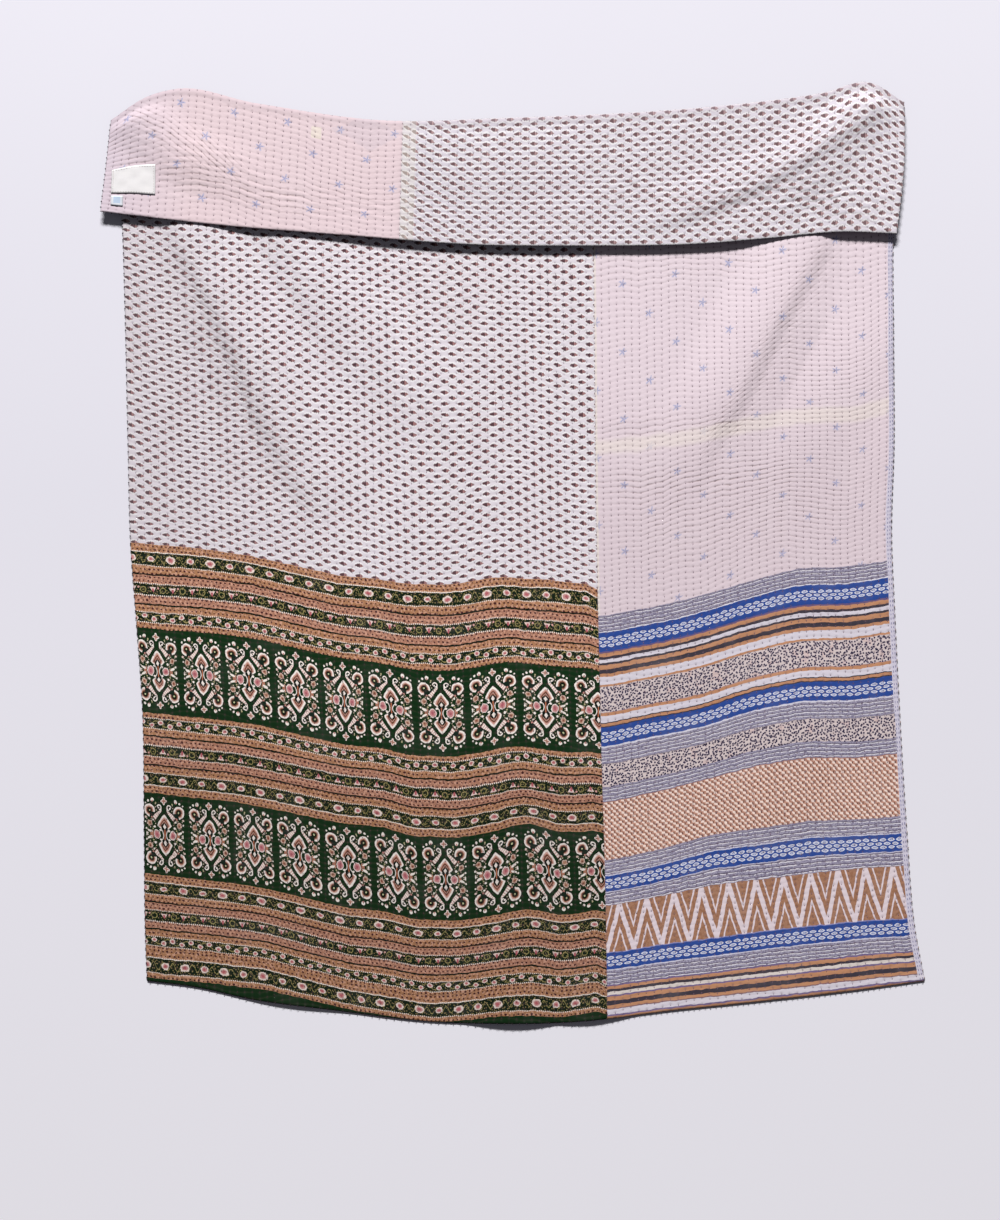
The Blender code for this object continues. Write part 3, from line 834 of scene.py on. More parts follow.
def print_flowers(cloth, x, y, across, apart):
    """Small faded blue flowers of 13 mm in half-drop columns, from a middle flower where x and y are 0."""
    column = (x / across + 0.5).whole()
    x = x.wrapped(across)
    y = (y + column.odd() * (apart / 2)).wrapped(apart)
    petals = (y.turn_to(x) * 5.0).cosine()
    reach = from_point(x, y) - petals * 2.6 + (cloth.mottle(3.0) - 0.5) * 4.5
    cloth.lay((reach < 4.9) * 0.55, "#AAB2D6")
    cloth.lay((reach < 2.2) * 0.5, "#8089BE")


GREEN, VINE_GROUND, TAN, ROSY_TAN, LIGHT = "#0C2E12", "#0B1F0D", "#AF7E5C", "#B27F69", "#F2E2DA"
GREEN_STRIPES = (
    (0.0, TAN), (12.8, LIGHT), (13.8, VINE_GROUND), (35.0, TAN), (47.4, "#0A1608"), (50.3, ROSY_TAN),
    (63.8, VINE_GROUND), (82.2, ROSY_TAN), (95.3, "#0A1608"), (98.1, TAN), (109.6, VINE_GROUND), (126.0, TAN),
    (136.0, GREEN),
)
# Where, in the same stripes, light edge dots, dark dots and vines are printed: red, green and blue.
EDGE_DOTS, DARK_DOTS, VINES, BARE = (1, 0, 0, 1), (0, 1, 0, 1), (0, 0, 1, 1), (0, 0, 0, 1)
GREEN_MOTIFS = (
    (0.0, DARK_DOTS), (12.2, EDGE_DOTS), (13.8, VINES), (34.4, EDGE_DOTS), (36.0, DARK_DOTS), (47.6, BARE),
    (50.6, DARK_DOTS), (62.6, EDGE_DOTS), (64.4, VINES), (81.4, EDGE_DOTS), (83.2, DARK_DOTS), (95.4, BARE),
    (98.0, DARK_DOTS), (108.8, EDGE_DOTS), (110.4, VINES), (125.2, EDGE_DOTS), (126.8, DARK_DOTS),
    (136.0, BARE),
)

# Where the gaps between medallions lie across the cloth, in the upper and the lower band.
MEDALLION_GAPS = (
    (-6.0, 69.0, 143.0, 227.0, 308.0, 384.0, 467.0, 554.0, 642.0, 731.0, 820.0),
    (-2.0, 74.0, 150.0, 223.0, 304.0, 388.0, 468.0, 552.0, 640.0, 727.0, 815.0),
)


# A medallion's rings: how far from their middle each starts, and its colour.
CREAM, PINK, FAWN, BROWN, DARK, CLEAR = "#FAF1EA", "#DCB0A9", "#A67454", "#623A2A", "#081208", (0, 0, 0, 0)
SCROLL_RINGS = (
    (0.0, "#CFD4A4"), (1.4, DARK), (4.2, "#5E3C2C"), (4.9, BROWN), (5.5, FAWN), (6.3, PINK), (7.8, CREAM),
    (10.4, DARK), (11.8, CLEAR),
)
FINIAL_RINGS = ((0.0, "#9A5A50"), (1.2, "#C29682"), (2.6, PINK), (3.5, CREAM), (4.9, DARK), (5.9, CLEAR))
ROSE_RINGS = (
    (0.0, "#B0606A"), (0.34, "#CD8C8E"), (0.72, "#DDB6B2"), (0.86, CREAM), (1.0, DARK), (1.18, CLEAR),
)
LEAF_RINGS = (
    (0.0, "#C08E7C"), (0.20, "#7A4A38"), (0.34, "#D2A698"), (0.42, BROWN), (0.54, "#A86F58"),
    (0.62, "#D9A79C"), (0.77, CREAM), (1.0, DARK), (1.1, CLEAR),
)
STAR_RINGS = ((0.0, "#7E403A"), (1.4, "#B58870"), (3.3, "#DCC2B4"), (4.7, DARK), (5.9, CLEAR))
# Its small dots: x, y, radius and colour.
DOTS = (
    (19.0, 13.0, 2.0, CREAM), (34.6, 1.2, 1.4, CREAM), (22.6, 57.0, 3.2, CREAM), (22.6, 55.0, 1.5, "#C98F86"),
    (30.4, 54.8, 1.9, CREAM), (36.0, 51.0, 1.5, CREAM), (16.0, 52.4, 1.3, "#B9B48A"),
    (36.6, 27.0, 1.8, "#E6CDC4"), (22.0, 23.4, 1.4, CREAM), (35.2, 9.0, 1.5, CREAM), (36.4, 19.6, 1.3, CREAM),
    (24.0, 28.0, 1.5, "#C98F86"), (22.4, 9.2, 1.4, "#B9B48A"),
)


def print_vines(cloth, x, s, where):
    """The three flowered stripes of the green border. s runs down the stripes."""

    def block(shape, colour):
        cloth.lay(shape & where, colour)

    olive = "#98905A"
    upper, lower = s - 24.4, s - 117.8
    block((abs(upper - x.wave(16.5) * 5.0) < 0.75) & (s < 35.0), olive)
    block((abs(lower - x.wave(31.0) * -4.5) < 0.7) & (s > 109.0), olive)
    block(abs(from_point((x - 16.5).wrapped(33.0), s, 0.0, 73.0) - 4.4) < 0.65, olive)
    block((cloth.seeds(230.0) < 0.22) * 0.6, "#B5A06E")
    big = from_point(x.wrapped(66.0) / 8.0, upper / 5.8)
    small = from_point((x - 33.0).wrapped(66.0) / 6.2, upper / 4.6)
    sides = (x + 7.75).wave(31.0).by("SIGN") * 2.5
    zigzag = from_point(x.wrapped(15.5) / 4.5, (lower - sides) / 3.9)
    flower = big.at_most(small).at_most(zigzag) + (cloth.mottle(3.0) - 0.5) * 0.5
    block(flower < 1.0, "#F3E2DA")
    block(flower < 0.66, "#CC9290")
    block(flower < 0.34, "#B9626A")
    aside = abs(x.wrapped(33.0))
    wedge = (aside - (77.8 - s) * 0.62 < 0.0) & s.within(68.6, 77.8)
    block(wedge, "#EFD6D0")
    block(wedge & (aside < 1.8) & (s > 70.5), "#B9636B")
    block(from_point((x - 9.0).wrapped(33.0), s, 0.0, 69.6) < 1.7, "#D9A79E")


def print_medallion(cloth, x, y, where):
    """One medallion, from its middle, the same in its four quarters: leaves, stems, roses and scrolls."""
    x, y = abs(x), abs(y)
    ruffle = cloth.mottle(3.6) - 0.5

    def block(shape, colour):
        cloth.lay(shape & where, colour)

    def rings(at, end, table):
        colour, share = cloth.stripes(at, 0.0, end, table)
        block(Spread(cloth.tree, share), colour)

    seed = cloth.seeds(0.20, add(cloth.tree, "CombineXYZ", inputs=(x, y)).outputs[0])
    body = ((x / 35.5) ** 4 + (y / 53.0) ** 4 < 1.0) & (x + y * 0.12 > 17.0)
    block((seed < 0.24) & body, "#8E7C62")
    block((seed < 0.11) & body, CREAM)

    # A striped bar that slants up and in, 20 mm long.
    bar_end = ((x - 5.5) * 14.0 + (y - 41.0) * -14.0) / 392.0
    bar_side = abs((x - 5.5) * 0.707 + (y - 41.0) * 0.707) - bar_end * 2.3
    block(bar_end.within(-0.08, 1.10) & (bar_side < 2.7), DARK)
    bar = bar_end.within(-0.05, 1.02) & (bar_side < 1.5)
    block(bar, CREAM)
    block(bar & (bar_end.wave(0.19) > 0.2), PINK)

    volute = from_point(x, y, 9.4, 45.6)
    block((volute < 5.6) | ((abs(x - 5.4) < 2.2) & y.within(40.0, 48.0)), DARK)
    block((abs(volute - 3.7) < 1.0) & (y > x + 32.6), CREAM)
    block((from_point(x, y, 10.6, 44.6) < 1.5) | ((abs(x - 5.8) < 1.0) & y.within(40.0, 46.0)), CREAM)

    scroll = from_point(x, y, 28.2, 39.4) + ruffle * 1.8
    rings(scroll, 13.0, SCROLL_RINGS)
    towards_middle = (28.2 - x) * 0.58 + (39.4 - y) * 0.81
    block((towards_middle > scroll * 0.80) & (scroll > 3.6) & (scroll < 11.0), "#10241A")

    finial = from_point(x, y, 0.0, 56.4) - ((y - 56.4).turn_to(x) * 4.0).cosine() * 1.4 + ruffle * 1.5
    rings(finial, 7.5, FINIAL_RINGS)

    block((x - 23.5) * (x - 23.5) / 22.0 + y * y / 30.0 + ruffle < 1.0, "#B57E68")
    rings(from_point((x - 15.0) / 6.4, y / 7.6) + ruffle * 0.4, 1.4, ROSE_RINGS)
    petal_x, petal_y = x - 28.6, y - 5.0
    petal = ((petal_x - petal_y * 0.5) / 3.8) ** 2 + ((petal_y + petal_x * -0.25) / 2.1) ** 2
    block(petal < 1.0, CREAM)

    down_leaf = ((y - 15.6) / 18.4).at_least((15.6 - y) / 8.4)
    leaf = ((x / 13.4) ** 1.25 + down_leaf**1.25) ** 0.8
    rings(leaf + ruffle * 0.06, 1.2, LEAF_RINGS)

    stem = x - y**2 * 0.055
    block((stem < 4.0) & (y < 10.0), DARK)
    block((abs(stem - 2.5) < 0.75) & (y < 10.0), CREAM)
    block((from_point(x, y, 0.0, 12.6) < 6.2) & (y > 7.6), DARK)
    block(x / 3.1 + abs(y - 13.4) / 4.5 < 1.0, CREAM)
    block((x < 1.0) & (y < 8.6), "#C07355")
    block(((x - 7.9) / 2.3) ** 2 + ((y - 7.7) / 1.7) ** 2 < 1.0, CREAM)

    rings(from_point(x, y, 28.8, 18.4) + ruffle * 4.5, 7.0, STAR_RINGS)
    for at_x, at_y, radius, colour in DOTS:
        block(from_point(x, y, at_x, at_y) < radius, colour)


def green_bordered_cloth():
    """Cotton voile, block-printed with buds, its end printed dark green with tan stripes and medallions."""
    cloth = Cloth("printed_cotton_green_border", "#E6DFE8")
    x, down = cloth.x, 1000 * BORDER_LENGTH - cloth.y
    print_buds(cloth, 13.4, 17.8)
    # Painted shade: the bud field greyer towards the quilt's left edge.
    cloth.lay((1.0 - x / 340.0).at_least(0.0) * 0.16, "#857C82")
    border = down > 0.0
    # One set of stripes serves three times: below the first medallions it is turned round, and after the
    # second ones it is turned back and moved on.
    stripes_at = down + (down > 276.5) * (411.0 - down * 2.0) + (down > 546.0) * (down * 2.0 - 957.0)
    stripes_at = stripes_at - (down > 676.8) * 130.8
    stripes = cloth.stripes(stripes_at, 0.0, 140.0, GREEN_STRIPES)
    motifs = cloth.stripes(stripes_at, 0.0, 140.0, GREEN_MOTIFS)[0]
    motifs = add(cloth.tree, "SeparateColor", inputs=(motifs,))
    edge_dots, dark_dots, vines = (Spread(cloth.tree, motifs.outputs[k]) for k in range(3))
    panels = down.within(136.3, 276.5, 411.0, 546.0)
    plain = border & (panels < 0.5)
    cloth.lay(border, stripes[0])
    cloth.lay(edge_dots & (x.wave(3.4) > -0.1) & plain * 0.95, "#FFF4EC")
    line = (stripes_at / 6.3).whole()
    dot = from_point((x + line.odd() * 3.7).wrapped(7.4), (stripes_at - 3.1).wrapped(6.3) * 1.2)
    cloth.lay(dark_dots & (cloth.mottle(4.2, 1.0) > 0.56) & plain * 0.6, "#E6B39C")
    cloth.lay(dark_dots & (dot + (cloth.mottle(9.0) - 0.5) * 3.0 < 1.65) & plain, "#4A2224")
    print_vines(cloth, x, stripes_at, vines & plain)
    cloth.lay(panels, GREEN)
    second = down > 343.0
    first_count, second_count = (cloth.counted(x, gaps) for gaps in MEDALLION_GAPS)
    count = first_count + second * (second_count - first_count)
    lean = (down - 479.0) * second * -0.04
    from_middle = (count - 0.5).wrapped(1.0) * 87.0 + lean
    print_medallion(cloth, from_middle, down - 206.0 - second * 273.0, panels)
    cloth.lay(down > 719.5, GREEN)
    # Painted shade: the green border darker down towards the hem.
    cloth.lay(((down - 150.0) / 260.0).clamped() * 0.20, "#0E0B06")
    return cloth.worn_soft_and_shaded(thread=0.6, worn=0.06)


BLUE, ASH, OCHRE, CHALK, LILAC_LINE = "#2C4C99", "#403A45", "#C48E6C", "#DDD7E3", "#7A6A92"
TICKING = "#A29DB4"
# In three parts, because a ramp holds no more than 32 colours.
LOWER_STRIPES = (
    (0.0, "#BC8A6C"), (4.2, LILAC_LINE), (6.5, CHALK), (15.2, "#8A6A70"), (16.8, OCHRE), (22.5, ASH),
    (29.4, OCHRE), (36.7, LILAC_LINE), (39.0, "#E3D9D4"), (44.2, ASH), (48.4, OCHRE), (54.2, LILAC_LINE),
    (56.5, TICKING), (80.6, "#D8D6E6"), (82.4, BLUE), (109.4, "#8E8FC0"), (111.0, "#AA7D64"),
    (189.5, TICKING), (211.0, "#D8D6E6"), (212.5, BLUE),
)
MIDDLE_STRIPES = (
    (225.0, BLUE), (238.3, "#D8D6E6"), (240.0, TICKING), (265.0, "#8A6A70"), (266.0, "#C99784"),
    (361.3, "#8A6A70"), (362.5, TICKING), (387.0, "#DBCCCB"), (424.0, TICKING),
)
UPPER_STRIPES = (
    (450.0, TICKING), (452.6, "#D8D6E6"), (454.0, BLUE), (485.0, ASH), (486.2, OCHRE), (491.0, ASH),
    (492.2, CHALK), (503.0, OCHRE), (508.4, "#A98C94"), (509.5, "#DBCCCB"), (551.5, OCHRE), (555.2, CHALK),
    (568.4, OCHRE), (573.8, ASH), (580.4, OCHRE), (587.6, ASH), (591.0, CHALK), (597.4, ASH), (601.2, OCHRE),
    (607.7, "#6D5A80"), (610.0, BLUE), (642.0, "#D8D6E6"), (643.4, TICKING), (671.0, (0, 0, 0, 0)),
)
STRIPES_REACH = 225.0  # of each part
# Where stripes of ticking and of strewn blossom start and end.
TICKED = (56.5, 80.6, 189.5, 211.0, 240.0, 265.0, 362.5, 387.0, 424.5, 452.6, 643.4, 671.0)
STREWN = (387.0, 424.0, 509.5, 551.5)


def blue_bordered_cloth():
    """Cotton voile in faded pink with far-apart flowers, its end printed with blue and ochre stripes."""
    cloth = Cloth("printed_cotton_blue_border", "#EBDBE4")
    seam = 1000 * FACE_SEAM_ROW * ROW_PITCH
    x, y = cloth.x - seam, cloth.y * 0.981
    print_flowers(cloth, x - 3.0, cloth.y - (x - 3.0) * 0.15 - 65.0, 45.4, 110.0)
    pale = abs(y - 944.0 - x * 0.03 + (cloth.mottle(30.0) - 0.5) * 9.0) - x * 0.010
    cloth.lay(((pale / 12.0) ** 4).fading() * 0.75, "#F3E7E3")
    # Painted shade: the pink darker down the cloth, from 1060 mm to its striped border.
    cloth.lay(((1060.0 - y) / 240.0).clamped() * 0.14, "#A08C92")
    for end, table in ((671.0, UPPER_STRIPES), (450.0, MIDDLE_STRIPES), (225.0, LOWER_STRIPES)):
        start = table[0][0]
        cloth.lay(y < end, cloth.stripes(y, start, start + STRIPES_REACH, table)[0])

    ticking = y.within(*TICKED)
    uneven = y + (cloth.mottle(25.0) - 0.5) * 1.6
    cloth.lay(ticking & (cloth.mottle(2.6) > 0.54) * 0.6, "#5F5876")
    cloth.lay(ticking & ((uneven - 1.3).folded(5.8) < 0.55) * 0.9, "#5B5266")
    cloth.lay(ticking & (uneven.folded(5.8) < 0.62) & (cloth.mottle(6.0) > 0.40) * 0.9, "#F0EDF4")

    # A chain of links along each of the four blue stripes.
    chain_y = y - 95.7 - (y > 160.0) * 129.7 - (y > 350.0) * 244.1 - (y > 550.0) * 156.8
    line = (chain_y / 5.7 + 0.5).whole()
    link = ((x + line.odd() * 7.0).folded(14.0) / 5.8) ** 1.6 + (chain_y.folded(5.7) / 2.5) ** 1.6
    chained = (abs(chain_y) < 8.5) & (y < 650.0)
    cloth.lay(chained & (link < 1.0), "#DFE1F0")
    cloth.lay(chained & (link < 0.38) * 0.75, "#4660A6")
    cloth.lay(chained & (link < 0.07), "#D8DAEC")

    rise = (y - 111.0) * (23.0 / 78.5) - x.folded(46.0)
    zigzag = y.within(111.0, 189.5)
    cloth.lay(zigzag & (cloth.mottle(5.0) > 0.55) * 0.4, "#8B5C3E")
    cloth.lay(zigzag & ((abs(rise) < 3.9) | (abs(abs(rise) - 12.0) < 1.35)), "#E6D8E0")

    # Basket weave: rows of slanting strokes, each row half a stroke on from the last.
    basket = y.within(266.0, 361.3)
    brick = (x + (y / 4.9).whole().odd() * 4.8).wrapped(9.6) + (cloth.mottle(11.0) - 0.5) * 2.4
    stroke = (y - 2.45).wrapped(4.9) + brick * 0.45 + (cloth.mottle(3.0) - 0.5) * 1.6
    cloth.lay(basket & (cloth.mottle(3.4) > 0.54) * 0.5, "#8A5C50")
    cloth.lay(basket & (abs(brick) < 2.5) & (abs(stroke) < 1.8), "#F8E2D8")
    cloth.lay(basket & (abs(brick - 3.6) < 1.0) & (abs(stroke - 1.6) < 1.7) * 0.85, "#65423C")

    strewn = y.within(*STREWN)
    spot = cloth.seeds(235.0) + (cloth.mottle(3.0) - 0.5) * 0.3
    blossom = cloth.mottle(22.0)
    cloth.lay(strewn & (blossom > 0.66) * 0.25, "#D9A9A0")
    cloth.lay(strewn & (spot < 0.42) & (blossom < 0.76) * 0.45, "#9C8FB0")
    cloth.lay(strewn & (spot < 0.34) & (blossom < 0.74), "#2D2945")

    cloth.lay((cloth.flat_x < seam + 3.5) & (y > 671.0) * 0.6, "#F0E8DC")
    right = 1000 * FLAT_WIDTH - cloth.flat_x
    selvage = right < 9.5 + (cloth.mottle(120.0) - 0.5) * 5.0
    cloth.lay(selvage & (y > 16.0), "#D6D1E2")
    dashes = (y.wave(7.0) > 0.1) & ((abs(right - 3.4) < 0.6) | (abs(right - 7.2) < 0.55))
    cloth.lay(dashes * 0.85, "#55548C")
    return cloth.worn_soft_and_shaded()


def faded_pink_cloth():
    """The same cotton voile in faded pink, lilac where it was shaded least, with an old stain and a patch."""
    cloth = Cloth("printed_cotton_faded_pink", "#EBD6DC")
    x, y = cloth.x, cloth.y
    cloth.lay((1.0 - x / 140.0).at_least(0.0) * 0.9, "#DDCFDC")
    print_flowers(cloth, x - 115.5, y - 1520.0, 43.0, 96.0)
    stain = abs(x - 420.0) / 62.0 + abs(y - 1520.0) / 30.0 + (cloth.mottle(30.0) - 0.5)
    cloth.lay((stain < 1.0) * 0.22, "#C4BCCB")
    cloth.lay((abs(x - 334.0) < 8.0) & (abs(y - 1531.0) < 10.0) * 0.8, "#F1E6DA")
    return cloth.worn_soft_and_shaded()


def bud_cloth():
    """Cotton voile block-printed all over with the same lying buds, dragged askew near the seam."""
    cloth = Cloth("printed_cotton_buds", "#DFD9E4")
    from_seam = cloth.x - 1000 * BACK_SEAM_ROW * ROW_PITCH
    dragged = (1.0 - from_seam / 170.0).at_least(0.05)
    print_buds(cloth, 12.8, 15.8, dragged * -0.45, 0.8)
    cloth.lay((from_seam < 22.0) * 0.35, "#E9E2D8")
    return cloth.worn_soft_and_shaded()


def thread_material(name, colour, other):
    """Three-strand cotton thread, dyed and washed out unevenly."""
    thread = Finish(name, colour)
    place = add(thread.tree, "TexCoord").outputs["Object"]
    thread.mottled(place, 120.0, other, Detail=2.0)
    # Strands of 0.4 mm, turned round each other.
    inputs = {"Vector": place, "Scale": 900.0, "Distortion": 2.0}
    strands = add(thread.tree, "TexWave", {"bands_direction": "DIAGONAL"}, inputs)
    return thread.done(0.8, 0.3, strands.outputs[0], strength=0.6, distance=0.0002)


def tape_material(name, colour, shade, block=None):
    """Woven cotton or satin tape: plain, with fine cross ribs."""
    tape = Finish(name, colour)
    flat = add(tape.tree, "UVMap", {"uv_map": "flat_metres"}).outputs[0]
    places = add(tape.tree, "SeparateXYZ", inputs=(flat,))
    x, y = (Spread(tape.tree, places.outputs[k]) * 1000.0 for k in (0, 1))
    tape.mottled(flat, 90.0, shade, {"noise_dimensions": "2D"}, Detail=3.0)
    if block:
        across, along, dye = block
        tape.lay(x.within(*across) & y.within(*along), dye)
    return tape.done(0.7, 0.3, x.wave(1.1) * 0.03 + y.wave(0.9) * 0.03)


def floor_material(colour):
    """Painted studio floor: even, matt and pale, with painted light making it paler towards the foot of the
    quilt.
    """
    paint = Finish("painted_floor", colour)
    place = add(paint.tree, "TexCoord").outputs["Object"]
    paint.mottled(place, 0.8, "#E6E5F0")
    # Painted light: paler towards the foot of the quilt, the side farther from the key lamp.
    down = add(paint.tree, "SeparateXYZ", inputs=(place,)).outputs["Y"]
    inputs = {"Value": down, "From Min": 0.1, "From Max": -1.1, "To Max": 0.85}
    paint.lay(add(paint.tree, "MapRange", inputs=inputs).outputs[0], "#F8F7FF")
    return paint.done(0.9, 0.1)


# --- What a user would change. ---


class QuiltSizes(bpy.types.PropertyGroup):
    pillow_height: FloatProperty(
        name="Pillow height", description="How far cloth rises between rows", default=0.0006, unit="LENGTH"
    )
    pucker_depth: FloatProperty(
        name="Pucker depth", description="How far a stitch pulls the cloth in", default=0.0002, unit="LENGTH"
    )
    seam_dip: FloatProperty(
        name="Seam dip", description="How deep the seam between panels lies", default=0.0006, unit="LENGTH"
    )
    stitch_length: FloatProperty(
        name="Stitch length", description="How much of each stitch shows", default=0.0036, unit="LENGTH"
    )
    thread_width: FloatProperty(
        name="Thread width", description="Width of the quilting thread", default=0.0012, unit="LENGTH"
    )


class QuiltColours(bpy.types.PropertyGroup):
    floor: FloatVectorProperty(
        name="Floor", description="Colour of the floor", subtype="COLOR", size=4, default=linear("#ECEBF5")
    )


# --- The pieces. ---


class QUILT_OT_face_panels(bpy.types.Operator):
    """Makes the two panels of the face"""

    bl_idname = "quilt.face_panels"
    bl_label = "Face panels"

    def execute(self, context):
        sizes = context.scene.quilt_sizes
        for name, rows, slot, material in (
            ("face_panel_green_border", (0, FACE_SEAM_ROW), "face_green_cloth", green_bordered_cloth()),
            ("face_panel_blue_border", (FACE_SEAM_ROW, ROWS), "face_blue_cloth", blue_bordered_cloth()),
        ):
            piece = quilted_sheet(name + "_cloth", rows, 1, material, sizes)
            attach(piece, "root")
            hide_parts(name)
        return {"FINISHED"}


class QUILT_OT_back_panels(bpy.types.Operator):
    """Makes the two panels of the back, which show on the turned-over end"""

    bl_idname = "quilt.back_panels"
    bl_label = "Back panels"

    def execute(self, context):
        sizes = context.scene.quilt_sizes
        for name, rows, slot, material in (
            ("back_panel_pink", (0, BACK_SEAM_ROW), "back_pink_cloth", faded_pink_cloth()),
            ("back_panel_bud", (BACK_SEAM_ROW, ROWS), "back_bud_cloth", bud_cloth()),
        ):
            piece = quilted_sheet(name + "_cloth", rows, -1, material, sizes)
            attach(piece, "root")
            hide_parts(name)
        return {"FINISHED"}


class QUILT_OT_running_stitch(bpy.types.Operator):
    """Sews the rows of running stitch"""

    bl_idname = "quilt.running_stitch"
    bl_label = "Running stitch"

    def execute(self, context):
        sizes = context.scene.quilt_sizes
        grey = thread_material("washed_grey_thread", "#AA97AA", "#87768B")
        maroon = thread_material("maroon_thread", "#5A3438", "#43282E")
        mauve = thread_material("mauve_thread", "#93728A", "#6E5468")
        green_rows, blue_rows = (1, FACE_SEAM_ROW), (FACE_SEAM_ROW, ROWS)
        pink_rows, bud_rows = (1, BACK_SEAM_ROW), (BACK_SEAM_ROW, ROWS)
        flap = (FACE_LENGTH + 0.008, FLAT_LENGTH - FIRST_STITCH)
        for name, rows, (start, end), side, thread, slot in (
            ("bud_field", green_rows, (BORDER_LENGTH, FACE_STITCHED_TO), 1, grey, "face_green_cloth"),
            ("green_border", green_rows, (FIRST_STITCH, BORDER_LENGTH), 1, maroon, "face_green_cloth"),
            ("blue_side", blue_rows, (FIRST_STITCH, FACE_STITCHED_TO), 1, mauve, "face_blue_cloth"),
            ("pink_flap", pink_rows, flap, -1, mauve, "back_pink_cloth"),
            ("bud_flap", bud_rows, flap, -1, grey, "back_bud_cloth"),
        ):
            piece = running_stitches("running_stitch_" + name, range(*rows), start, end, side, thread, sizes)
            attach(piece, "root")
        return {"FINISHED"}


class QUILT_OT_whipped_edges(bpy.types.Operator):
    """Whips the quilt's four edges"""

    bl_idname = "quilt.whipped_edges"
    bl_label = "Whipped edges"

    def execute(self, context):
        sizes = context.scene.quilt_sizes
        ochre = thread_material("ochre_thread", "#A9804E", "#7E5F6E")
        dark = thread_material("plum_thread", "#4C3848", "#6B5260")
        seam = FACE_SEAM_ROW * ROW_PITCH
        sides = np.arange(FIRST_STITCH, FLAT_LENGTH, WHIP_PITCH)
        green_end = np.arange(FIRST_STITCH, seam, WHIP_PITCH)
        blue_end = np.arange(seam, FLAT_WIDTH, WHIP_PITCH * 0.7)
        turned_end = np.arange(FIRST_STITCH, FLAT_WIDTH, WHIP_PITCH)
        for name, across, along, out, thread, slot in (
            ("whipped_left_edge", 0.0, sides, (-1, 0), dark, "face_green_cloth"),
            ("whipped_right_edge", FLAT_WIDTH, sides, (1, 0), ochre, "face_blue_cloth"),
            ("whipped_green_end", green_end, 0.0, (0, -1), dark, "face_green_cloth"),
            ("whipped_blue_end", blue_end, 0.0, (0, -1), ochre, "face_blue_cloth"),
            ("whipped_turned_end", turned_end, FLAT_LENGTH, (0, 1), dark, "face_blue_cloth"),
        ):
            piece = whip_stitches(name, across, along, out, thread, sizes)
            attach(piece, "root")
        return {"FINISHED"}


class QUILT_OT_labels(bpy.types.Operator):
    """Sews the two labels on, both of them bare"""

    bl_idname = "quilt.labels"
    bl_label = "Labels"

    def execute(self, context):
        cream = tape_material("off_white_cotton_tape", "#F6F4F5", "#ECEAED")
        care_patch = ((17.0, 28.0), (1000 * FOLD_END + 168.0, 1000 * FOLD_END + 181.0), "#C3D6EE")
        white = tape_material("white_satin_tape", "#EDEFF6", "#DFE5F0", care_patch)
        for name, rows, span, material, slot, lift in (
            ("sewn_label", LABEL_ROWS, LABEL_SPAN, cream, "label_cloth", LABEL_LIFT),
            ("care_label", CARE_ROWS, CARE_SPAN, white, "care_label_cloth", CARE_LIFT),
        ):
            piece = self.label(name + "_tape", rows, span, material, lift)
            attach(piece, "root")
            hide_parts(name)
        border = self.border_stitches(thread_material("white_sewing_thread", "#D8D0C4", "#BEB4A8"))
        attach(border, "root")
        return {"FINISHED"}

    def lifted(self, across, along, lift):
        """Places on the turned-over end, clear of the quilting, over its folds and wrinkles."""
        across, along = (
            across + (along - LABEL_MIDDLE[1]) * LABEL_LEAN,
            along + (across - LABEL_MIDDLE[0]) * LABEL_SLANT,
        )
        x, y, _ = middle(across, along).T
        return cloth_points(across, along, -(SKIN + lift + wrinkled(FLAP_WRINKLES, x, y) * LABEL_GIVES))

    def label(self, name, rows, span, material, lift):
        columns = spread(rows[0] * ROW_PITCH, rows[1] * ROW_PITCH, LABEL_STEP)
        lines = spread(FOLD_END + span[0], FOLD_END + span[1], LABEL_STEP)
        mesh, across, along = grid_mesh(name, columns, lines, -1)
        ease = LABEL_EASE / 2 * np.sin(across * 160) * np.sin(along * 210)
        mesh.vertices.foreach_set("co", self.lifted(across, along, lift + LABEL_EASE + ease).ravel())
        lay_flat_map(mesh, across, along)
        piece = new_piece(name, mesh, material)
        tape = piece.modifiers.new("tape", "SOLIDIFY")
        tape.thickness = TAPE_THICKNESS
        tape.offset = -1.0
        return piece

    def border_stitches(self, material):
        """A seam all round the sewn label, just inside its edge."""
        left, right = (row * ROW_PITCH for row in LABEL_ROWS)
        top, bottom = (FOLD_END + at for at in LABEL_SPAN)
        inset, pitch = LABEL_STITCH_INSET, LABEL_STITCH_PITCH
        across = np.arange(left + inset, right - inset, pitch)
        along = np.arange(top + inset, bottom - inset, pitch)
        spots = [(a, end, 1, 0) for end in (top + inset, bottom - inset) for a in across]
        spots += [(side, l, 0, 1) for side in (left + inset, right - inset) for l in along]
        across, along, ahead_across, ahead_along = np.array(spots, float).T
        lift = LABEL_LIFT + TAPE_THICKNESS
        centre = self.lifted(across, along, lift)
        ahead = self.lifted(across + 0.001 * ahead_across, along + 0.001 * ahead_along, lift) - centre
        bm = bmesh.new()
        for place, forward in zip(centre, ahead):
            turn = Vector(forward).to_track_quat("Z", "Y").to_matrix() @ Matrix.Diagonal(LABEL_STITCH_SIZES)
            stitch = Matrix.Translation(place) @ turn.to_4x4()
            bmesh.ops.create_uvsphere(bm, u_segments=5, v_segments=4, radius=1.0, matrix=stitch)
        return new_piece("label_border_stitches", mesh_of(bm, "label_border_stitches"), material)


class QUILT_OT_declare(bpy.types.Operator):
    """Does nothing"""

    bl_idname = "quilt.declare"
    bl_label = "Cut sizes"

    def execute(self, context):
        return {"FINISHED"}


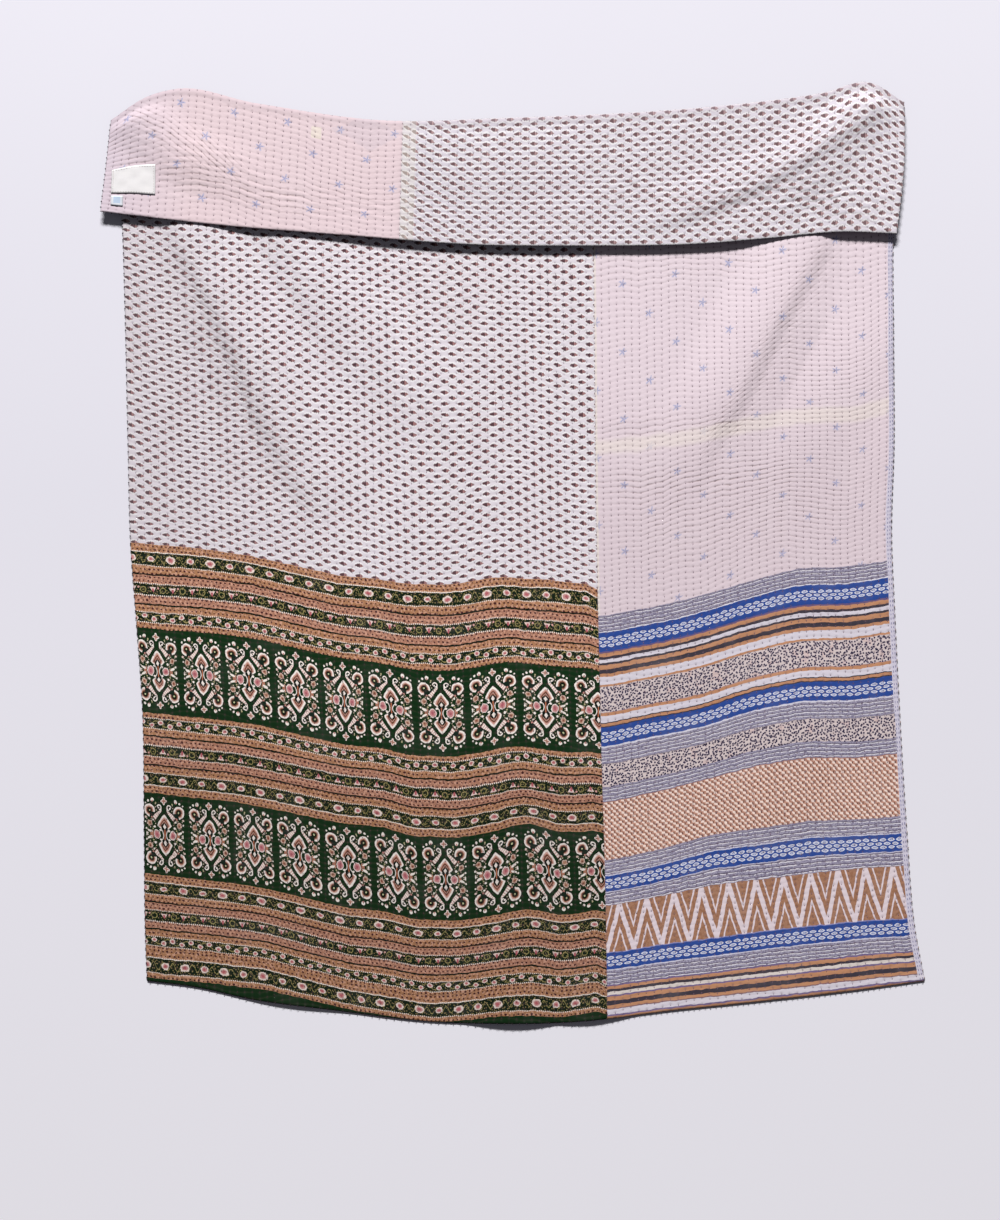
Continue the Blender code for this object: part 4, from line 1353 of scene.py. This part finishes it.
class QUILT_OT_stage(bpy.types.Operator):
    """Makes the floor, the lights and the camera"""

    bl_idname = "quilt.stage"
    bl_label = "Stage"

    def execute(self, context):
        scene = context.scene
        bm = bmesh.new()
        under_quilt = Matrix.Translation((0, 0, -FLOOR_DROP))
        bmesh.ops.create_grid(bm, x_segments=2, y_segments=2, size=FLOOR_REACH, matrix=under_quilt)
        paint = floor_material(scene.quilt_colours.floor)
        floor = new_piece("studio_floor", mesh_of(bm, "studio_floor"), paint)

        lamp = bpy.data.lights.new("key_softbox", "AREA")
        lamp.shape = "RECTANGLE"
        lamp.size, lamp.size_y = 5.0, 1.8
        lamp.energy = 3850.0
        lamp.color = linear("#FFFDFB")[:3]
        # As with a black flag behind the fold: no glow on the floor beside it.
        lamp.cycles.max_bounces = 0
        light = bpy.data.objects.new("key_softbox", lamp)
        light.location = (-0.9, 13.0, 9.0)
        light.rotation_euler = (-light.location).to_track_quat("-Z", "Y").to_euler()
        light.visible_camera = False
        scene.collection.objects.link(light)

        world = bpy.data.worlds.new("studio")
        world.use_nodes = True
        background = world.node_tree.nodes["Background"]
        background.inputs["Color"].default_value = linear("#ECEBF7")
        background.inputs["Strength"].default_value = 0.075
        scene.world = world
        scene.view_settings.view_transform = "Standard"

        lens = bpy.data.cameras.new("camera")
        lens.lens = lens.sensor_width * CAMERA_HEIGHT / FRAME_HEIGHT
        lens.clip_end = 100.0
        camera = bpy.data.objects.new("camera", lens)
        camera.location = (*FRAME_CENTRE, CAMERA_HEIGHT)
        scene.collection.objects.link(camera)
        scene.camera = camera
        return {"FINISHED"}


class QUILT_PT_sidebar(bpy.types.Panel):
    bl_label = "Kantha quilt"
    bl_space_type = "VIEW_3D"
    bl_region_type = "UI"
    bl_category = "Quilt"

    def draw(self, context):
        for group in (context.scene.quilt_sizes, context.scene.quilt_colours):
            for name in group.__annotations__:
                self.layout.prop(group, name)
        for operator in OPERATORS:
            self.layout.operator(operator.bl_idname)


OPERATORS = (
    QUILT_OT_face_panels,
    QUILT_OT_back_panels,
    QUILT_OT_running_stitch,
    QUILT_OT_whipped_edges,
    QUILT_OT_labels,
    QUILT_OT_declare,
    QUILT_OT_stage,
)
CLASSES = (QuiltSizes, QuiltColours, *OPERATORS, QUILT_PT_sidebar)


def register():
    for each in CLASSES:
        bpy.utils.register_class(each)
    bpy.types.Scene.quilt_sizes = PointerProperty(type=QuiltSizes)
    bpy.types.Scene.quilt_colours = PointerProperty(type=QuiltColours)


def unregister():
    del bpy.types.Scene.quilt_sizes, bpy.types.Scene.quilt_colours
    for each in reversed(CLASSES):
        bpy.utils.unregister_class(each)


def main():
    register()
    for operator in OPERATORS:
        group, name = operator.bl_idname.split(".")
        getattr(getattr(bpy.ops, group), name)()


if __name__ == "__main__":
    main()
